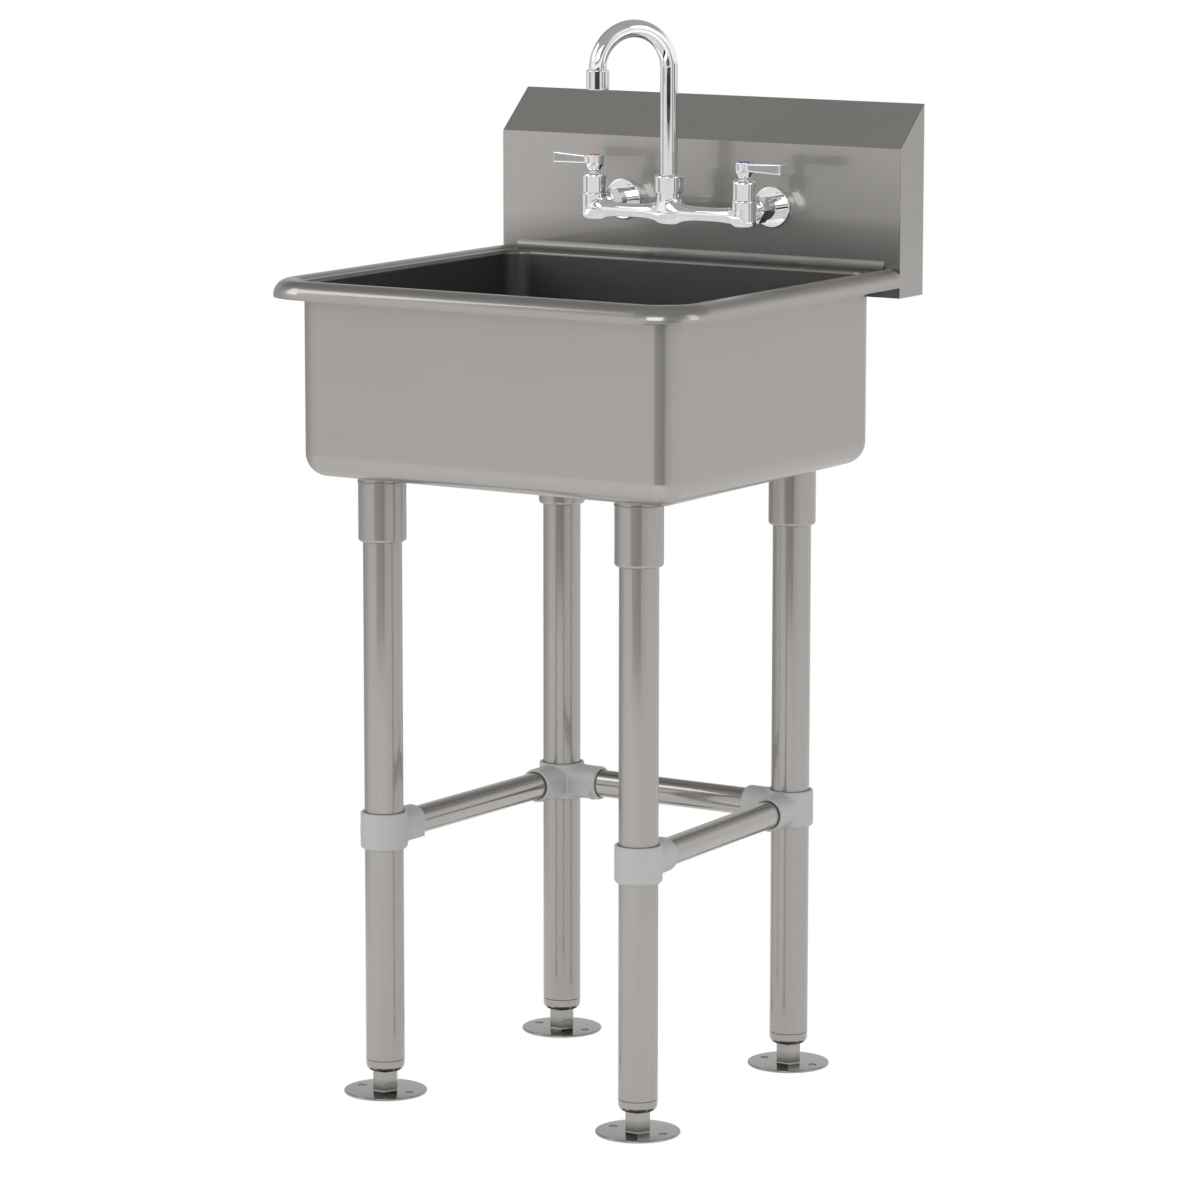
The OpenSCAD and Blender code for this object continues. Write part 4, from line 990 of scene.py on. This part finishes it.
def floorLight(tree):
    # how bright each place of the floor is as the metal mirrors it
    s = studio
    spot = grow(tree, "ShaderNodeNewGeometry")
    away = grow(tree, "ShaderNodeVectorMath", {"operation": "LENGTH"}, {0: spot}, out=1)
    parts = tree.nodes.new("ShaderNodeSeparateXYZ")
    tree.links.new(spot.socket, parts.inputs[0])
    px, py = Wire(tree, parts.outputs[0]), Wire(tree, parts.outputs[1])
    x, y = px / away, py / away
    far = away.between(*s["far"])
    ahead, beside = facing(x, y, s["gapTurn"]), facing(x, y, s["gapTurn"] + 90)
    left = s["gapLeft"][1]
    gap = beside.between(*s["gapLeft"]) * beside.between(left, -left, s["gapSlope"], 1.0)
    gap = gap * beside.between(*s["gapRight"], 1.0, s["gapRest"]) * beside.between(*s["gapFade"], 1.0, 0.0)
    gap = gap * ahead.between(*s["gapFront"]) * away.between(*s["gapReach"]) * s["gapDark"] * (1 - far)
    near = ahead.between(*s["nearSides"]) * away.between(*s["nearStart"])
    near = near * away.between(*s["nearEnd"], 1.0, 0.0)
    back = facing(x, y, s["backTurn"]).between(*s["backSides"])
    back = back * away.between(*s["backReach"]) * s["backDark"]
    light = (1 - gap) * (1 - back) + near * s["nearGlow"]
    turn = x.math("ARCTAN2", y * -1.0)
    streaks = 1.0
    for middle, half, dark in s["streaks"]:
        off = (turn - math.radians(middle)).math("ABSOLUTE")
        streak = off.between(math.radians(half), math.radians(half + s["streakEdge"]), dark, 0.0)
        streaks = (1 - streak) * streaks
    half = ((away - s["wedgeStart"]) * s["wedgeSpread"]).math("MINIMUM", math.radians(s["wedgeHalf"]))
    off = (turn - math.radians(s["wedgeTurn"])).math("ABSOLUTE") - half
    wedge = off.between(-s["wedgeEdge"], 0.0, 1.0, 0.0) * s["wedgeDark"]
    return light * (1 - far) + streaks * s["farTone"] * (1 - wedge) * far


def makeStage():
    s = studio
    mesh = bpy.data.meshes.new("floor")
    half = s["floorSize"] / 2
    corners = [(-half, -half, 0), (half, -half, 0), (half, half, 0), (-half, half, 0)]
    mesh.from_pydata(corners, [], [(0, 1, 2, 3)])
    floor = bpy.data.objects.new("floor", mesh)
    floor.location.z = -s["floorDrop"]
    floor.visible_camera = False  # so that feet screwed down below it, and the sink from below, still show
    bpy.context.scene.collection.objects.link(floor)
    finish, tree, shader = newFinish("floorPaint", {"Roughness": 0.9, "Specular IOR Level": 0.1})
    _, glossy, through = rays(tree)
    lit = glossy * floorLight(tree)
    level = (lit + (1 - glossy)) * s["floorColour"]
    plug(grow(tree, "ShaderNodeCombineXYZ", values={0: level, 1: level, 2: level}), shader, "Base Color")
    glow = grow(tree, "ShaderNodeEmission", values={
        "Color": (1, 1, 1, 1), "Strength": (lit + through) * s["gloss"]})
    total = grow(tree, "ShaderNodeAddShader", values={0: Wire(tree, shader.outputs[0]), 1: glow})
    tree.links.new(total.socket, tree.nodes["Material Output"].inputs[0])
    mesh.materials.append(finish)


def makeWorld():
    s = studio
    world = bpy.data.worlds.new("studio")
    bpy.context.scene.world = world
    world.use_nodes = True
    tree = world.node_tree
    tree.nodes.clear()
    parts = tree.nodes.new("ShaderNodeSeparateXYZ")
    tree.links.new(grow(tree, "ShaderNodeTexCoord").socket, parts.inputs[0])
    x, y, up = (Wire(tree, output) for output in parts.outputs)
    camera, glossy, through = rays(tree)
    shown = (camera + through).math("MINIMUM", 1.0)
    ceiling = up.between(*(math.sin(math.radians(a)) for a in s["ceilingRise"]), 1.0, s["ceiling"])
    back = facing(x, y, s["backTurn"]).between(*s["backSides"]) * s["backDark"]
    front = up.between(*s["frontLow"]) * up.between(*s["frontHigh"], 1.0, 0.0)
    front = facing(x, y, s["frontTurn"]).between(*s["frontSides"]) * front
    mirrored = ceiling * (1 - back) * (1 - front * s["frontDark"])
    strength = shown + (1 - shown) * (glossy * mirrored + (1 - glossy) * s["soft"])
    glow = grow(tree, "ShaderNodeBackground", values={"Color": (1, 1, 1, 1), "Strength": strength})
    out = tree.nodes.new("ShaderNodeOutputWorld")
    tree.links.new(glow.socket, out.inputs[0])


def areaLamp(name, size, glow):
    lamp = bpy.data.lights.new(name, "AREA")
    lamp.shape, lamp.size, lamp.size_y = "RECTANGLE", size[0], size[1]
    lamp.energy = glow * math.pi * size[0] * size[1]
    box = bpy.data.objects.new(name, lamp)
    bpy.context.scene.collection.objects.link(box)
    return box


def softbox(name, azimuth, height, distance, size, glow):
    # a soft lamp aimed at the bowl
    a, h = math.radians(azimuth), math.radians(height)
    aim = Vector(lampAim)
    spot = aim + distance * Vector((math.sin(a) * math.cos(h), -math.cos(a) * math.cos(h), math.sin(h)))
    box = areaLamp(name, size, glow)
    box.location = spot
    box.rotation_euler = (spot - aim).to_track_quat("Z", "Y").to_euler()


def underLight():
    # a low white card that brightens only the underside of the chrome tap, as in the photograph
    card = areaLamp("tapCard", tapCard["size"], tapCard["glow"])
    card.location, card.rotation_euler = tapCard["place"], (math.pi, 0, 0)
    card.visible_camera = False
    receivers = bpy.data.collections.new("tapChrome")
    for item in bpy.context.scene.objects:
        if item.type == "MESH" and item.active_material == finishes["chrome"]:
            receivers.objects.link(item)
    card.light_linking.receiver_collection = receivers


makeStage()
makeWorld()
underLight()
for name, lamp in lamps.items():
    softbox(name, **lamp)
print("stage and lamps set")
